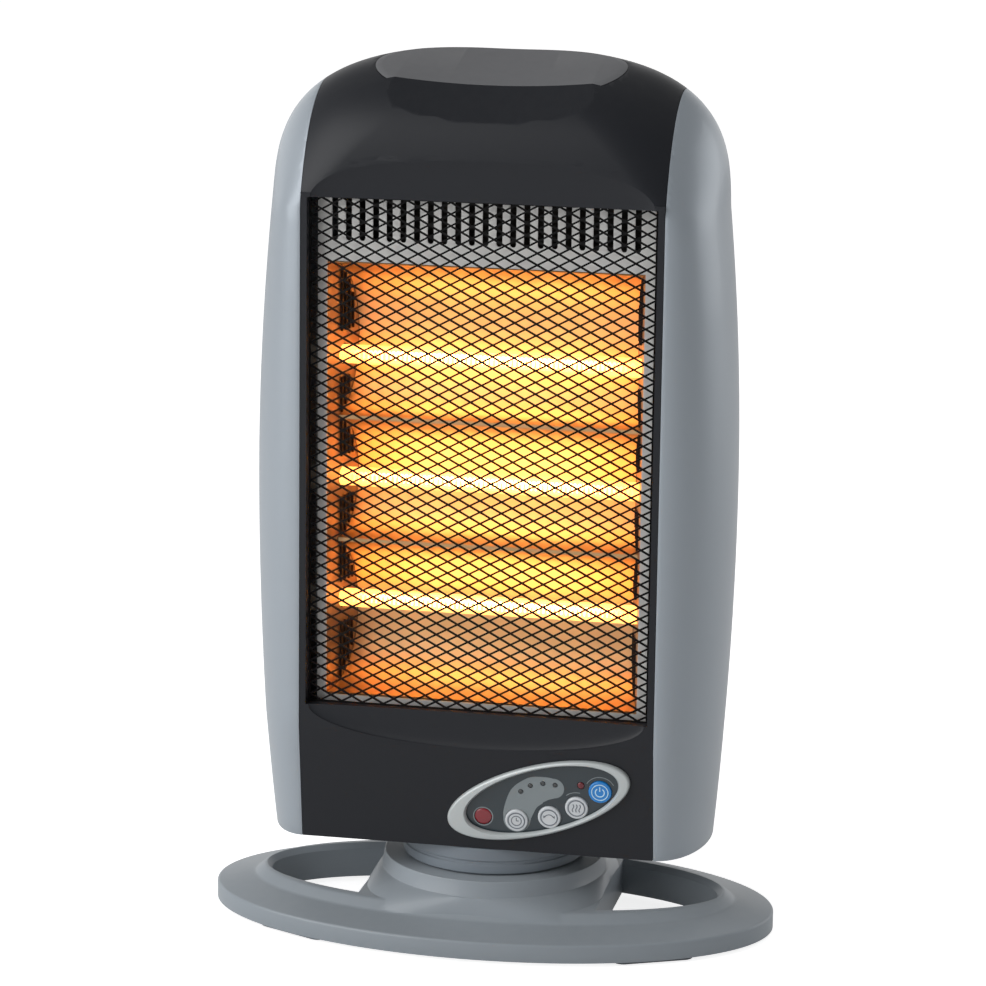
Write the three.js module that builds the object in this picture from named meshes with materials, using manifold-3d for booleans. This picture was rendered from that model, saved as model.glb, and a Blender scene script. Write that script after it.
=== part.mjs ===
// Oscillating three-bar halogen heater: a barrel-shaped head that swings on an oval foot.
// Millimetres, +Z up, the front faces -Y. The origin is the centre of the foot, on the floor.

import * as THREE from 'three';
import { mergeVertices } from 'three/addons/utils/BufferGeometryUtils.js';
import Module from 'manifold-3d';

const wasm = await Module();
wasm.setup();

// ---------------------------------------------------------------- clearances and walls
const GAP = 0.3; // between fixed parts that touch
const RUN = 0.8; // between parts that turn or slide past each other
const WALL = 2.5; // moulded plastic
const SHEET = 1; // pressed steel
const FAR = 1000; // longer than the whole heater, for cutting tools

// ---------------------------------------------------------------- foot
const BASE_HALF_WIDTH = 155;
const BASE_HALF_DEPTH = 85.4;
const PAD_HEIGHT = 2.2;
const PAD_LENGTH = 44;
const PAD_WIDTH = 11;
const PAD_INSET = 11; // pad centre line, in from the rim of the foot
const PAD_ANGLE = 47; // degrees round the oval from its long axis
const BASE_FLOOR = PAD_HEIGHT + GAP;
const RIM_HEIGHT = 10; // upright outer band of the foot
const RIM_EDGE = 1.5;
const BAND_WIDTH = 21; // gently rising band inside the rim
const BAND_RISE = 4;
const CREST_WIDTH = 6; // steeper step up to the crest round the side openings
const CREST_RISE = 5;
const RING_END_WIDTH = 30.5; // foot rim to side opening, at the ends of the oval
const RING_SIDE_WIDTH = 35.4; // the same, at the front and back
const OPENING_LIP = 3; // the crest slopes down this far towards the side openings
const HUB_HALF_WIDTH = 65; // inner edge of the side openings
const HUB_HALF_DEPTH = 65;
const HUB_SQUARENESS = 5; // superellipse exponent of the hub's foot
const HUB_FLARE = 3; // the foot of the hub spreads past the side openings
const HUB_STEP = 27.5; // height of the shoulder of the hub
const HUB_STEP_EDGE = 1;
const BOSS_RADIUS = 61.6;
const BOSS_TAPER = 1.4;
const HUB_TOP = 36.5;
const PLATE_THICKNESS = 2;

// ---------------------------------------------------------------- swivel
const SWIVEL_Y = 3; // swivel axis, behind the centre of the foot
const PIVOT_RADIUS = 6.8;
const PIVOT_BORE = 5;
const PIVOT_FLANGE = 11;
const PIVOT_FLANGE_HEIGHT = 3;
const PIVOT_THREAD_END = 2; // thread left above the nut
const SWIVEL_PLATE_RADIUS = 46;
const SWIVEL_PLATE_THICKNESS = 3;
const COLLAR_RADIUS = 50;
const NUT_RADIUS = 9.2;
const NUT_HEIGHT = 4;
const WASHER_HEIGHT = 0.8;
const CRANK_DISTANCE = 26; // motor shaft from the swivel axis
const CRANK_THROW = 15; // 0.577 of the distance: a quarter turn swings the head 30 degrees
const CRANK_PIN_RADIUS = 2;
const CRANK_ARM_HALF_WIDTH = 4.5;
const CRANK_ARM_THICKNESS = 3;
const CRANK_BOSS_RADIUS = 5;
const SLOT_SIDE_PLAY = 1.3; // the slot guides the pin while the swing stays proportional
const MOTOR_RADIUS = 17.5;
const MOTOR_HEIGHT = 20;

// ---------------------------------------------------------------- head form
const HEAD_BOTTOM = 52;
const HEAD_TOP = 474.5;
const SHOULDER_Z = 395; // the crown starts to round over here
const CHIN_Z = 115; // the face leans back below this
const CHIN_SETBACK = 8;
const FACE_Y = -58; // front face, from the swivel axis
const FACE_LEAN = 0.005;
const BACK_Y = 50;
const CROWN_Y = 12; // highest line of the crown
const BELLY_HALF_WIDTH = 129.5;
const BELLY_Z = 245;
const BELLY_SPAN = 140;
const BELLY_DROP_ABOVE = 7; // narrowing of the barrel at BELLY_SPAN above the belly
const BELLY_DROP_BELOW = 5; // and at BELLY_SPAN below it
const CROWN_ROUNDNESS = 2.9; // superellipse exponents of the crown, seen from the front
const CROWN_FRONT_ROUNDNESS = 2.4; // and from the side, in front of its highest line
const CROWN_BACK_ROUNDNESS = 3; // and behind it
const CROWN_FLAT_ROUNDNESS = 3.5; // of the flat between the rounded sides
const CROWN_FLAT_NARROWING = 0.75; // share of the flat that the crown gives to its sides
const CROWN_FLAT_RISE = 1; // share of the crown's height over which it does so
const SEAM_X = 96; // joint between the dark middle and the grey side panels
const REAR_SPLIT_Y = 36; // joint between front fascia and rear cover, over the crown
const FLOOR_THICKNESS = 2.5;

// ---------------------------------------------------------------- crown facet
const FACET_Y = -27; // front edge of the flat facet, on the centre line
const FACET_Z = 459;
const FACET_SLOPE = 13.5; // degrees
const FACET_DISH_RADIUS = 420; // the facet and its crescent are hollow from side to side
const CHAMFER_SLOPE = 39; // degrees, the crescent in front of the facet
const DISH_SEGMENTS = 24;
const CAP_THICKNESS = 1.5;

// ---------------------------------------------------------------- grille and window
const WINDOW_FRAME = 3.5; // upright bars of the fascia beside the window
const WINDOW_HALF_WIDTH = SEAM_X - WINDOW_FRAME;
const WINDOW_BOTTOM = 128;
const WINDOW_TOP = 401;
const SCOOP_HALF_WIDTH = 91; // crescent recesses above and below the window
const SCOOP_DEPTH = 4;
const SCOOP_WALL = 1.8;
const UPPER_SCOOP_RISE = 27;
const LOWER_SCOOP_DROP = 19;
const GRILLE_OVERLAP = 1.5;
const GRILLE_THICKNESS = 1;
const GRILLE_STRAND = 1.7;
const GRILLE_BORDER = 3;
const GRILLE_COLUMNS = 6;
const GRILLE_ROWS = 16;

// ---------------------------------------------------------------- heating unit
const PANEL_Y = -44; // front of the bright front plate
const PANEL_FLANGE = 5; // front plate beside the mouth
const PANEL_BOTTOM = 124;
const PANEL_TOP = 408;
const MOUTH_HALF_WIDTH = 84.5;
const PANEL_HALF_WIDTH = MOUTH_HALF_WIDTH + PANEL_FLANGE;
const MOUTH_BOTTOM = 130.5;
const MOUTH_TOP = 366;
const VENT_COUNT = 23;
const VENT_PITCH = 7.3;
const VENT_WIDTH = 3.3;
const VENT_BOTTOM = 377;
const VENT_TOP = 404;
const RIDGE_HEIGHTS = [213, 280]; // folds between the three troughs
const RIDGE_SETBACK = 12; // ridges, behind the mouth
const TROUGH_DEPTH = 35;
const END_FLARE = 8.5; // the trough ends lean in by this at the back
const TUBE_HEIGHTS = [179.5, 246.5, 313];
const TUBE_SETBACK = 19; // tube centre line, behind the mouth
const TUBE_RADIUS = 5;
const TUBE_WALL = 1;
const TUBE_SEAT = 6; // depth of the tube in its ceramic end
const FILAMENT_RADIUS = 1.5;
const CERAMIC_LENGTH = 15;
const CERAMIC_HALF_WIDTH = 5.5;
const CERAMIC_HALF_HEIGHT = 7;
const BRACKET_SETBACK = 9.2; // strips that carry the ceramic ends, from their inner faces
const BRACKET_HALF_WIDTH = 10;
const BRACKET_END_MARGIN = 16;
const SHIELD_SETBACK = 52; // heat shield, behind the front plate

// ---------------------------------------------------------------- control panel
const CONTROL_X = 34.4;
const CONTROL_Z = 82.7;
const CONTROL_TURN = 18; // degrees, the oval climbs to the right
const BEZEL_HALF_LENGTH = 51.7;
const BEZEL_HALF_HEIGHT = 19.8;
const BEZEL_HEIGHT = 2.7;
const OVERLAY_SHIFT = 2; // the rim is wider at its left end
const OVERLAY_HALF_LENGTH = 44.8;
const OVERLAY_HALF_HEIGHT = 18.8;
const BEZEL_LIP = 1.6; // rim overlap on the overlay
const OVERLAY_THICKNESS = 1.5;
const BUTTON_RADIUS = 6.2;
const BUTTON_PROUD = 1.2;
const BUTTON_FLANGE = 1;
const BUTTON_CATCH = 1; // the flange behind the overlay, wider than the key
const BUTTON_TRAVEL = 1;
const BUTTON_PLACES = { timer: [-12, -12.9], swing: [5.8, -9.7], heat: [20.6, -3.1], power: [33.3, 7] };
const LENS_RADIUS = 4.6;
const LENS_PLACE = [-30.3, -12.1];
const LED_RADIUS = 1.1;
const POWER_LED_RADIUS = 1.8;
const LED_PLACES = [[-9.6, 3.9], [-4.4, 7.7], [2.4, 9.4], [9, 9]];
const POWER_LED_PLACE = [22.9, 9.8];
const BOARD_DEPTH = 9; // control board, behind the face
const BOARD_THICKNESS = 1.6;

// ---------------------------------------------------------------- materials
const finish = (color, roughness, metalness = 0) =>
  new THREE.MeshStandardMaterial({ color, roughness, metalness });
const GREY = () => finish(0x8b9aa3, 0.45, 0.2);
const FOOT_GREY = () => finish(0x7d8890, 0.5, 0.1);
const BLACK = () => finish(0x191c22, 0.25);
const RUBBER = () => finish(0x2a2a2c, 0.9);
const STEEL = () => finish(0xb8babc, 0.4, 0.9);
const MIRROR = () => finish(0xe2dccb, 0.15, 1);
const GLASS = () => finish(0xffc060, 0.1);
const TUNGSTEN = () => finish(0xffe9b0, 0.4);
const CERAMIC = () => finish(0xd8cdbb, 0.8);
const BOARD = () => finish(0x2f6b3c, 0.6);

// ---------------------------------------------------------------- solid helpers
function solid(geometry) {
  const bare = geometry.index ? geometry.toNonIndexed() : geometry.clone();
  for (const name of Object.keys(bare.attributes)) {
    if (name !== 'position') bare.deleteAttribute(name);
  }
  const merged = mergeVertices(bare, 1e-4);
  return new wasm.Manifold(new wasm.Mesh({
    numProp: 3,
    vertProperties: merged.attributes.position.array,
    triVerts: new Uint32Array(merged.index.array),
  }));
}

function geometryOf(manifold) {
  const { vertProperties, triVerts, numProp } = manifold.getMesh();
  const points = new Float32Array((vertProperties.length / numProp) * 3);
  for (let i = 0; i < points.length / 3; i++) {
    for (let k = 0; k < 3; k++) points[3 * i + k] = vertProperties[numProp * i + k];
  }
  const geometry = new THREE.BufferGeometry();
  geometry.setAttribute('position', new THREE.BufferAttribute(points, 3));
  geometry.setIndex(Array.from(triVerts));
  geometry.computeVertexNormals();
  return geometry;
}

const joined = (...solids) => solids.reduce((sum, next) => sum.add(next));
const cut = (body, ...tools) => tools.reduce((left, tool) => left.subtract(tool), body);

// A box given by its lowest and highest corner.
function block(low, high) {
  const size = high.map((value, i) => value - low[i]);
  const middle = high.map((value, i) => (value + low[i]) / 2);
  return solid(new THREE.BoxGeometry(...size).translate(...middle));
}

// A closed outline in the XY plane, extruded from z = low to z = high.
function prism(points, low, high) {
  const shape = new THREE.Shape(points.map(([x, y]) => new THREE.Vector2(x, y)));
  const geometry = new THREE.ExtrudeGeometry(shape, { depth: high - low, bevelEnabled: false });
  return solid(geometry.translate(0, 0, low));
}

// An outline in the YZ plane, extruded along X and centred.
function barAlongX(points, halfLength) {
  const upright = new THREE.Matrix4().makeBasis(
    new THREE.Vector3(0, 1, 0), new THREE.Vector3(0, 0, 1), new THREE.Vector3(1, 0, 0));
  const shape = new THREE.Shape(points.map(([y, z]) => new THREE.Vector2(y, z)));
  const geometry = new THREE.ExtrudeGeometry(shape, { depth: 2 * halfLength, bevelEnabled: false });
  return solid(geometry.translate(0, 0, -halfLength).applyMatrix4(upright));
}

// A superellipse: an exponent of 2 is a plain ellipse, a larger one is squarer.
function superOval(halfLength, halfWidth, squareness, segments) {
  const power = (value) => Math.sign(value) * Math.abs(value) ** (2 / squareness);
  return Array.from({ length: segments }, (_, i) => {
    const angle = (2 * Math.PI * i) / segments;
    return [halfLength * power(Math.cos(angle)), halfWidth * power(Math.sin(angle))];
  });
}
const oval = (halfLength, halfWidth, segments) => superOval(halfLength, halfWidth, 2, segments);

const disc = (radius, low, high, segments = 24) => prism(oval(radius, radius, segments), low, high);
const pipe = (outer, inner, low, high, segments = 24) =>
  cut(disc(outer, low, high, segments), disc(inner, low - 1, high + 1, segments));

// A skin through closed rings of equally many points, each counter-clockwise from above.
function loft(rings) {
  const count = rings[0].length;
  const points = rings.flat();
  const faces = [];
  for (let level = 0; level + 1 < rings.length; level++) {
    for (let i = 0; i < count; i++) {
      const a = level * count + i;
      const b = level * count + ((i + 1) % count);
      faces.push(a, b, b + count, a, b + count, a + count);
    }
  }
  const top = (rings.length - 1) * count;
  for (let i = 1; i + 1 < count; i++) {
    faces.push(0, i + 1, i);
    faces.push(top, top + i, top + i + 1);
  }
  const geometry = new THREE.BufferGeometry();
  geometry.setAttribute('position', new THREE.Float32BufferAttribute(points.flat(), 3));
  geometry.setIndex(faces);
  return solid(geometry);
}

const heater = new THREE.Group();
const foot = new THREE.Group();
const head = new THREE.Group();
head.position.y = SWIVEL_Y;
heater.add(foot, head);

function addPart(parent, name, manifold, material) {
  const mesh = new THREE.Mesh(geometryOf(manifold), material);
  mesh.name = name;
  parent.add(mesh);
  return mesh;
}

// ================================================================ foot
const BAND_Z = BASE_FLOOR + RIM_HEIGHT;
const CREST_FOOT = BAND_Z + BAND_RISE;
const CREST_Z = CREST_FOOT + CREST_RISE;
const OVAL_SEGMENTS = 48;

// The moulding's outer skin, drawn in by `inset` for the hollow underneath.
function footForm(inset) {
  const floor = inset > 0 ? -WALL : BASE_FLOOR;
  const profile = [
    [inset, floor],
    [inset, BAND_Z - RIM_EDGE - inset],
    [RIM_EDGE + inset, BAND_Z - inset],
    [BAND_WIDTH + inset, CREST_FOOT - inset],
    [BAND_WIDTH + CREST_WIDTH + inset, CREST_Z - inset],
  ];
  const rings = profile.map(([back, z]) =>
    oval(BASE_HALF_WIDTH - back, BASE_HALF_DEPTH - back, OVAL_SEGMENTS).map(([x, y]) => [x, y, z]));
  const bossTop = BOSS_RADIUS - BOSS_TAPER;
  const hubLevels = [
    [HUB_HALF_WIDTH + HUB_FLARE, HUB_HALF_DEPTH, HUB_SQUARENESS, floor],
    [HUB_HALF_WIDTH + HUB_FLARE, HUB_HALF_DEPTH, HUB_SQUARENESS, CREST_FOOT - inset],
    [BOSS_RADIUS + HUB_STEP_EDGE, BOSS_RADIUS + HUB_STEP_EDGE, 2, HUB_STEP - inset],
    [BOSS_RADIUS, BOSS_RADIUS, 2, HUB_STEP + HUB_STEP_EDGE - inset],
    [bossTop, bossTop, 2, HUB_TOP - inset],
  ];
  const hubRings = hubLevels.map(([halfWidth, halfDepth, squareness, z]) =>
    superOval(halfWidth - inset, halfDepth - inset, squareness, OVAL_SEGMENTS)
      .map(([x, y]) => [x, y + SWIVEL_Y, z]));
  return joined(loft(rings), loft(hubRings));
}

// The two D-shaped openings beside the hub, grown by `extra`.
function sideOpenings(extra) {
  const halfWidth = BASE_HALF_WIDTH - RING_END_WIDTH + extra;
  const halfDepth = BASE_HALF_DEPTH - RING_SIDE_WIDTH + extra;
  const ring = prism(oval(halfWidth, halfDepth, OVAL_SEGMENTS), -FAR / 2, FAR / 2);
  const lip = loft([-OPENING_LIP, OPENING_LIP].map((rise) => {
    const spread = rise + OPENING_LIP;
    return oval(halfWidth + spread, halfDepth + spread, OVAL_SEGMENTS).map(([x, y]) => [x, y, CREST_Z + rise]);
  }));
  const hub = HUB_HALF_WIDTH - extra;
  return cut(joined(ring, lip), block([-hub, -FAR, -FAR], [hub, FAR, FAR]));
}

const GLAND_Z = (CREST_Z + HUB_STEP) / 2;
const GLAND_RADIUS = 4.5;
const GLAND_FLANGE = 6;
const GLAND_BORE = 3.3;
const GLAND_FLANGE_THICKNESS = 2;
const GLAND_REACH = 10; // how far the gland stands out behind the hub
const GLAND_Y = SWIVEL_Y + HUB_HALF_DEPTH;

// A round bar along Y.
function barAlongY(radius, from, to, x, z, segments = 16) {
  const geometry = new THREE.CylinderGeometry(radius, radius, to - from, segments);
  return solid(geometry.translate(x, (from + to) / 2, z));
}

const baseShell = cut(
  footForm(0),
  cut(footForm(WALL), sideOpenings(WALL)),
  sideOpenings(0),
  disc(PIVOT_RADIUS + GAP, 0, FAR).translate(0, SWIVEL_Y, 0),
  barAlongY(GLAND_RADIUS + GAP, GLAND_Y - 2 * GLAND_REACH, GLAND_Y + GLAND_REACH, 0, GLAND_Z),
  barAlongY(GLAND_FLANGE + GAP, GLAND_Y, GLAND_Y + GLAND_REACH, 0, GLAND_Z),
);
addPart(foot, 'base_shell', baseShell, FOOT_GREY());

const PLATE_BOTTOM = BASE_FLOOR + GAP;
const plateInset = WALL + GAP;
const basePlate = cut(
  prism(oval(BASE_HALF_WIDTH - plateInset, BASE_HALF_DEPTH - plateInset, OVAL_SEGMENTS),
    PLATE_BOTTOM, PLATE_BOTTOM + PLATE_THICKNESS),
  sideOpenings(plateInset),
);
addPart(foot, 'base_plate', basePlate, STEEL());

function stadium(length, width, arcSegments = 6) {
  const radius = width / 2;
  const run = length / 2 - radius;
  return [1, -1].flatMap((side) => Array.from({ length: arcSegments + 1 }, (_, i) => {
    const angle = (side > 0 ? -Math.PI / 2 : Math.PI / 2) + (Math.PI * i) / arcSegments;
    return [side * run + radius * Math.cos(angle), radius * Math.sin(angle)];
  }));
}

const padAngle = THREE.MathUtils.degToRad(PAD_ANGLE);
const padX = (BASE_HALF_WIDTH - PAD_INSET) * Math.cos(padAngle);
const padY = (BASE_HALF_DEPTH - PAD_INSET) * Math.sin(padAngle);
const padTurn = Math.atan2(
  (BASE_HALF_DEPTH - PAD_INSET) * Math.cos(padAngle), (BASE_HALF_WIDTH - PAD_INSET) * Math.sin(padAngle));
for (const [name, sideX, sideY] of [
  ['foot_pad_front_left', -1, -1], ['foot_pad_front_right', 1, -1],
  ['foot_pad_back_left', -1, 1], ['foot_pad_back_right', 1, 1],
]) {
  const pad = addPart(foot, name, prism(stadium(PAD_LENGTH, PAD_WIDTH), 0, PAD_HEIGHT), RUBBER());
  pad.position.set(sideX * padX, sideY * padY, 0);
  pad.rotation.z = -sideX * sideY * padTurn;
}

// Swivel plate: fixed on the hub, with the slot that the crank pin works in.
const SWIVEL_PLATE_BOTTOM = HUB_TOP + GAP;
const SWIVEL_PLATE_TOP = SWIVEL_PLATE_BOTTOM + SWIVEL_PLATE_THICKNESS;
const slotHalfWidth = CRANK_PIN_RADIUS + SLOT_SIDE_PLAY;
const slotReach = CRANK_THROW + CRANK_PIN_RADIUS + GAP;
const swivelPlate = cut(
  disc(SWIVEL_PLATE_RADIUS, SWIVEL_PLATE_BOTTOM, SWIVEL_PLATE_TOP, 36),
  disc(PIVOT_RADIUS + GAP, 0, FAR),
  block([-slotHalfWidth, CRANK_DISTANCE - slotReach, 0], [slotHalfWidth, CRANK_DISTANCE + slotReach, FAR]),
).translate(0, SWIVEL_Y, 0);
addPart(foot, 'swivel_plate', swivelPlate, STEEL());

const PIVOT_FLANGE_TOP = HUB_TOP - WALL - GAP;
const NUT_BOTTOM = HEAD_BOTTOM + FLOOR_THICKNESS + GAP + WASHER_HEIGHT + GAP;
const PIVOT_TOP = NUT_BOTTOM + NUT_HEIGHT + PIVOT_THREAD_END;
const pivotTube = cut(
  joined(
    disc(PIVOT_RADIUS, PIVOT_FLANGE_TOP - PIVOT_FLANGE_HEIGHT, PIVOT_TOP),
    disc(PIVOT_FLANGE, PIVOT_FLANGE_TOP - PIVOT_FLANGE_HEIGHT, PIVOT_FLANGE_TOP)),
  disc(PIVOT_BORE, -FAR, FAR),
).translate(0, SWIVEL_Y, 0);
addPart(foot, 'pivot_tube', pivotTube, STEEL());

const pivotNut = cut(
  prism(oval(NUT_RADIUS, NUT_RADIUS, 6), NUT_BOTTOM, NUT_BOTTOM + NUT_HEIGHT),
  disc(PIVOT_RADIUS + GAP, 0, FAR),
).translate(0, SWIVEL_Y, 0);
addPart(foot, 'pivot_nut', pivotNut, STEEL());
const washerBottom = HEAD_BOTTOM + FLOOR_THICKNESS + GAP;
addPart(foot, 'thrust_washer',
  pipe(NUT_RADIUS, PIVOT_RADIUS + GAP, washerBottom, washerBottom + WASHER_HEIGHT)
    .translate(0, SWIVEL_Y, 0), STEEL());

const gland = cut(
  joined(
    barAlongY(GLAND_RADIUS, GLAND_Y - GLAND_REACH, GLAND_Y + GLAND_REACH, 0, GLAND_Z),
    barAlongY(GLAND_FLANGE, GLAND_Y + GAP, GLAND_Y + GAP + GLAND_FLANGE_THICKNESS, 0, GLAND_Z)),
  barAlongY(GLAND_BORE, GLAND_Y - FAR / 2, GLAND_Y + FAR / 2, 0, GLAND_Z),
);
addPart(foot, 'cord_gland', gland, RUBBER());

const TERMINAL_SIZE = [34, 12, 10];
const TERMINAL_SETBACK = 30; // behind the swivel axis
const terminalFront = SWIVEL_Y + TERMINAL_SETBACK;
const terminalBottom = PLATE_BOTTOM + PLATE_THICKNESS + GAP;
const terminal = block(
  [-TERMINAL_SIZE[0] / 2, terminalFront, terminalBottom],
  [TERMINAL_SIZE[0] / 2, terminalFront + TERMINAL_SIZE[1], terminalBottom + TERMINAL_SIZE[2]]);
addPart(foot, 'terminal_block', terminal, finish(0xe8e6df, 0.6));

// ================================================================ head form
// One level of the head: flat front and back between the seams, half ellipses at the sides.
const SIDE_SEGMENTS = 10;
// Height of a superellipse's quarter, from 1 at its centre to 0 at its end.
const falloff = (share, roundness) => (1 - share ** roundness) ** (1 / roundness);
function headSlice(z, inset) {
  const low = Math.min(z, SHOULDER_Z);
  const rise = Math.max(0, z - SHOULDER_Z) / (HEAD_TOP - inset - SHOULDER_Z);
  const drop = low > BELLY_Z ? BELLY_DROP_ABOVE : BELLY_DROP_BELOW;
  const barrel = BELLY_HALF_WIDTH - drop * ((low - BELLY_Z) / BELLY_SPAN) ** 2 - inset;
  const half = barrel * falloff(rise, CROWN_ROUNDNESS);
  const narrowing = CROWN_FLAT_NARROWING * Math.min(1, rise / CROWN_FLAT_RISE);
  const flat = SEAM_X * (1 - narrowing) * falloff(rise, CROWN_FLAT_ROUNDNESS);
  const lean = low < CHIN_Z
    ? (CHIN_SETBACK * (CHIN_Z - low)) / (CHIN_Z - HEAD_BOTTOM)
    : FACE_LEAN * (low - CHIN_Z);
  const faceReach = CROWN_Y - (FACE_Y + lean + inset);
  const backReach = BACK_Y - inset - CROWN_Y;
  const front = CROWN_Y - faceReach * falloff(rise, CROWN_FRONT_ROUNDNESS);
  const back = CROWN_Y + backReach * falloff(rise, CROWN_BACK_ROUNDNESS);
  const middle = (front + back) / 2;
  const reach = (back - front) / 2;
  return [1, -1].flatMap((side) => Array.from({ length: SIDE_SEGMENTS + 1 }, (_, i) => {
    const angle = (Math.PI * i) / SIDE_SEGMENTS;
    return [
      side * (flat + (half - flat) * Math.sin(angle)),
      middle - side * reach * Math.cos(angle),
      z,
    ];
  }));
}

const CHIN_LEVELS = 2;
const BARREL_LEVELS = 7;
const CROWN_LEVELS = 9;
const CROWN_LAST_SHARE = 0.97; // the top ring stays just off the pole
function headForm(inset) {
  const bottom = inset > 0 ? HEAD_BOTTOM - FLOOR_THICKNESS : HEAD_BOTTOM;
  const chin = Array.from({ length: CHIN_LEVELS }, (_, i) =>
    bottom + ((CHIN_Z - bottom) * i) / CHIN_LEVELS);
  const barrel = Array.from({ length: BARREL_LEVELS + 1 }, (_, i) =>
    CHIN_Z + ((SHOULDER_Z - CHIN_Z) * i) / BARREL_LEVELS);
  const crown = Array.from({ length: CROWN_LEVELS }, (_, i) => {
    const angle = (CROWN_LAST_SHARE * (i + 1) * Math.PI) / (2 * CROWN_LEVELS);
    return SHOULDER_Z + (HEAD_TOP - inset - SHOULDER_Z) * Math.sin(angle);
  });
  return loft([...chin, ...barrel, ...crown].map((z) => headSlice(z, inset)));
}

const outer = headForm(0);
const inner = cut(headForm(WALL), aboveSlope(CHAMFER_SLOPE, WALL));
const headShell = cut(outer, inner);
const SEAM_GAP = GAP / 2;

// ---------------------------------------------------------------- side panels
const rightPanel = cut(headShell, block([-FAR, -FAR, -FAR], [SEAM_X + SEAM_GAP, FAR, FAR]));
const leftPanel = cut(headShell, block([-SEAM_X - SEAM_GAP, -FAR, -FAR], [FAR, FAR, FAR]));
addPart(head, 'side_panel_right', rightPanel, GREY());
addPart(head, 'side_panel_left', leftPanel, GREY());

// ---------------------------------------------------------------- crown cap
// Everything above a shallow trough through the facet's front edge that climbs to the back.
function dishArc(share) {
  return Array.from({ length: DISH_SEGMENTS + 1 }, (_, i) => {
    const x = BELLY_HALF_WIDTH * ((2 * i) / DISH_SEGMENTS - 1);
    return [x, share * (FACET_DISH_RADIUS - Math.sqrt(FACET_DISH_RADIUS ** 2 - x ** 2))];
  });
}
function aboveSlope(slope, drop) {
  const corners = [[BELLY_HALF_WIDTH, FAR], [-BELLY_HALF_WIDTH, FAR]];
  const shape = new THREE.Shape([...dishArc(1), ...corners].map(([x, y]) => new THREE.Vector2(x, y)));
  const geometry = new THREE.ExtrudeGeometry(shape, { depth: FAR, bevelEnabled: false })
    .translate(0, -drop, -FAR / 2)
    .rotateX(Math.PI / 2 + THREE.MathUtils.degToRad(slope))
    .translate(0, FACET_Y, FACET_Z);
  return solid(geometry);
}
const middleSlab = block([-SEAM_X + SEAM_GAP, -FAR, 0], [SEAM_X - SEAM_GAP, FAR, FAR]);
const beforeSplit = block([-FAR, -FAR, -FAR], [FAR, REAR_SPLIT_Y - SEAM_GAP, FAR]);
// The facet and the crescent meet along an arc that runs forward towards the sides.
const facetAngle = THREE.MathUtils.degToRad(FACET_SLOPE);
const chamferAngle = THREE.MathUtils.degToRad(CHAMFER_SLOPE);
const edgeRun = (Math.cos(facetAngle) - Math.cos(chamferAngle)) / Math.sin(chamferAngle - facetAngle);
const behindFacetEdge = (gap) => prism([
  ...dishArc(-edgeRun), [BELLY_HALF_WIDTH, FAR], [-BELLY_HALF_WIDTH, FAR],
], 0, FAR).translate(0, FACET_Y + gap, 0);
const chamfer = aboveSlope(CHAMFER_SLOPE, 0);
const facet = aboveSlope(FACET_SLOPE, 0);
const capBody = aboveSlope(FACET_SLOPE, CAP_THICKNESS).intersect(behindFacetEdge(SEAM_GAP));
const capSeat = aboveSlope(FACET_SLOPE, CAP_THICKNESS + GAP).intersect(behindFacetEdge(-SEAM_GAP));
const topCap = cut(outer, facet, chamfer).intersect(capBody).intersect(middleSlab).intersect(beforeSplit);
addPart(head, 'top_cap', topCap, finish(0x565c64, 0.45));

// ---------------------------------------------------------------- control panel frame
const chinTilt = Math.atan(CHIN_SETBACK / (CHIN_Z - HEAD_BOTTOM));
const controlTurn = THREE.MathUtils.degToRad(CONTROL_TURN);
const control = new THREE.Group();
const controlDrop = (CHIN_Z - CONTROL_Z) / Math.cos(chinTilt);
control.position.set(CONTROL_X,
  FACE_Y + controlDrop * Math.sin(chinTilt), CHIN_Z - controlDrop * Math.cos(chinTilt));
control.rotation.x = Math.PI / 2 + chinTilt;
head.add(control);
control.updateWorldMatrix(true, true);

// In the control frame X runs right, Y up the face and Z out of it.
const tiltedOval = (a, b, segments = 36) => oval(a, b, segments).map(([x, y]) => [
  x * Math.cos(controlTurn) - y * Math.sin(controlTurn),
  x * Math.sin(controlTurn) + y * Math.cos(controlTurn),
]);
const shiftOverlay = ([x, y]) => [
  x + OVERLAY_SHIFT * Math.cos(controlTurn), y + OVERLAY_SHIFT * Math.sin(controlTurn)];
const overlayOutline = (extra) =>
  tiltedOval(OVERLAY_HALF_LENGTH + extra, OVERLAY_HALF_HEIGHT + extra).map(shiftOverlay);
const inHead = (manifold) => {
  const geometry = geometryOf(manifold);
  geometry.applyMatrix4(new THREE.Matrix4().copy(head.matrixWorld).invert().multiply(control.matrixWorld));
  return solid(geometry);
};

// ---------------------------------------------------------------- front fascia
const faceAt = (z) => FACE_Y + FACE_LEAN * (z - CHIN_Z);
function scoop(centreZ, halfHeight, extra) {
  const geometry = new THREE.SphereGeometry(1, 32, 16)
    .scale(SCOOP_HALF_WIDTH + extra, SCOOP_DEPTH + extra, halfHeight + extra);
  return solid(geometry.translate(0, faceAt(centreZ), centreZ)).intersect(middleSlab);
}
const scoops = (extra) => joined(
  scoop(WINDOW_TOP, UPPER_SCOOP_RISE, extra), scoop(WINDOW_BOTTOM, LOWER_SCOOP_DROP, extra));
const RETURN_BACK = faceAt(WINDOW_TOP) + SCOOP_DEPTH + SCOOP_WALL; // back of the window frame
const windowTool = block([-WINDOW_HALF_WIDTH, -FAR, WINDOW_BOTTOM], [WINDOW_HALF_WIDTH, 0, WINDOW_TOP]);
const windowReturn = block(
  [-SEAM_X + SEAM_GAP, faceAt(WINDOW_TOP), WINDOW_BOTTOM - WALL],
  [SEAM_X - SEAM_GAP, RETURN_BACK, WINDOW_TOP + WALL]);
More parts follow.
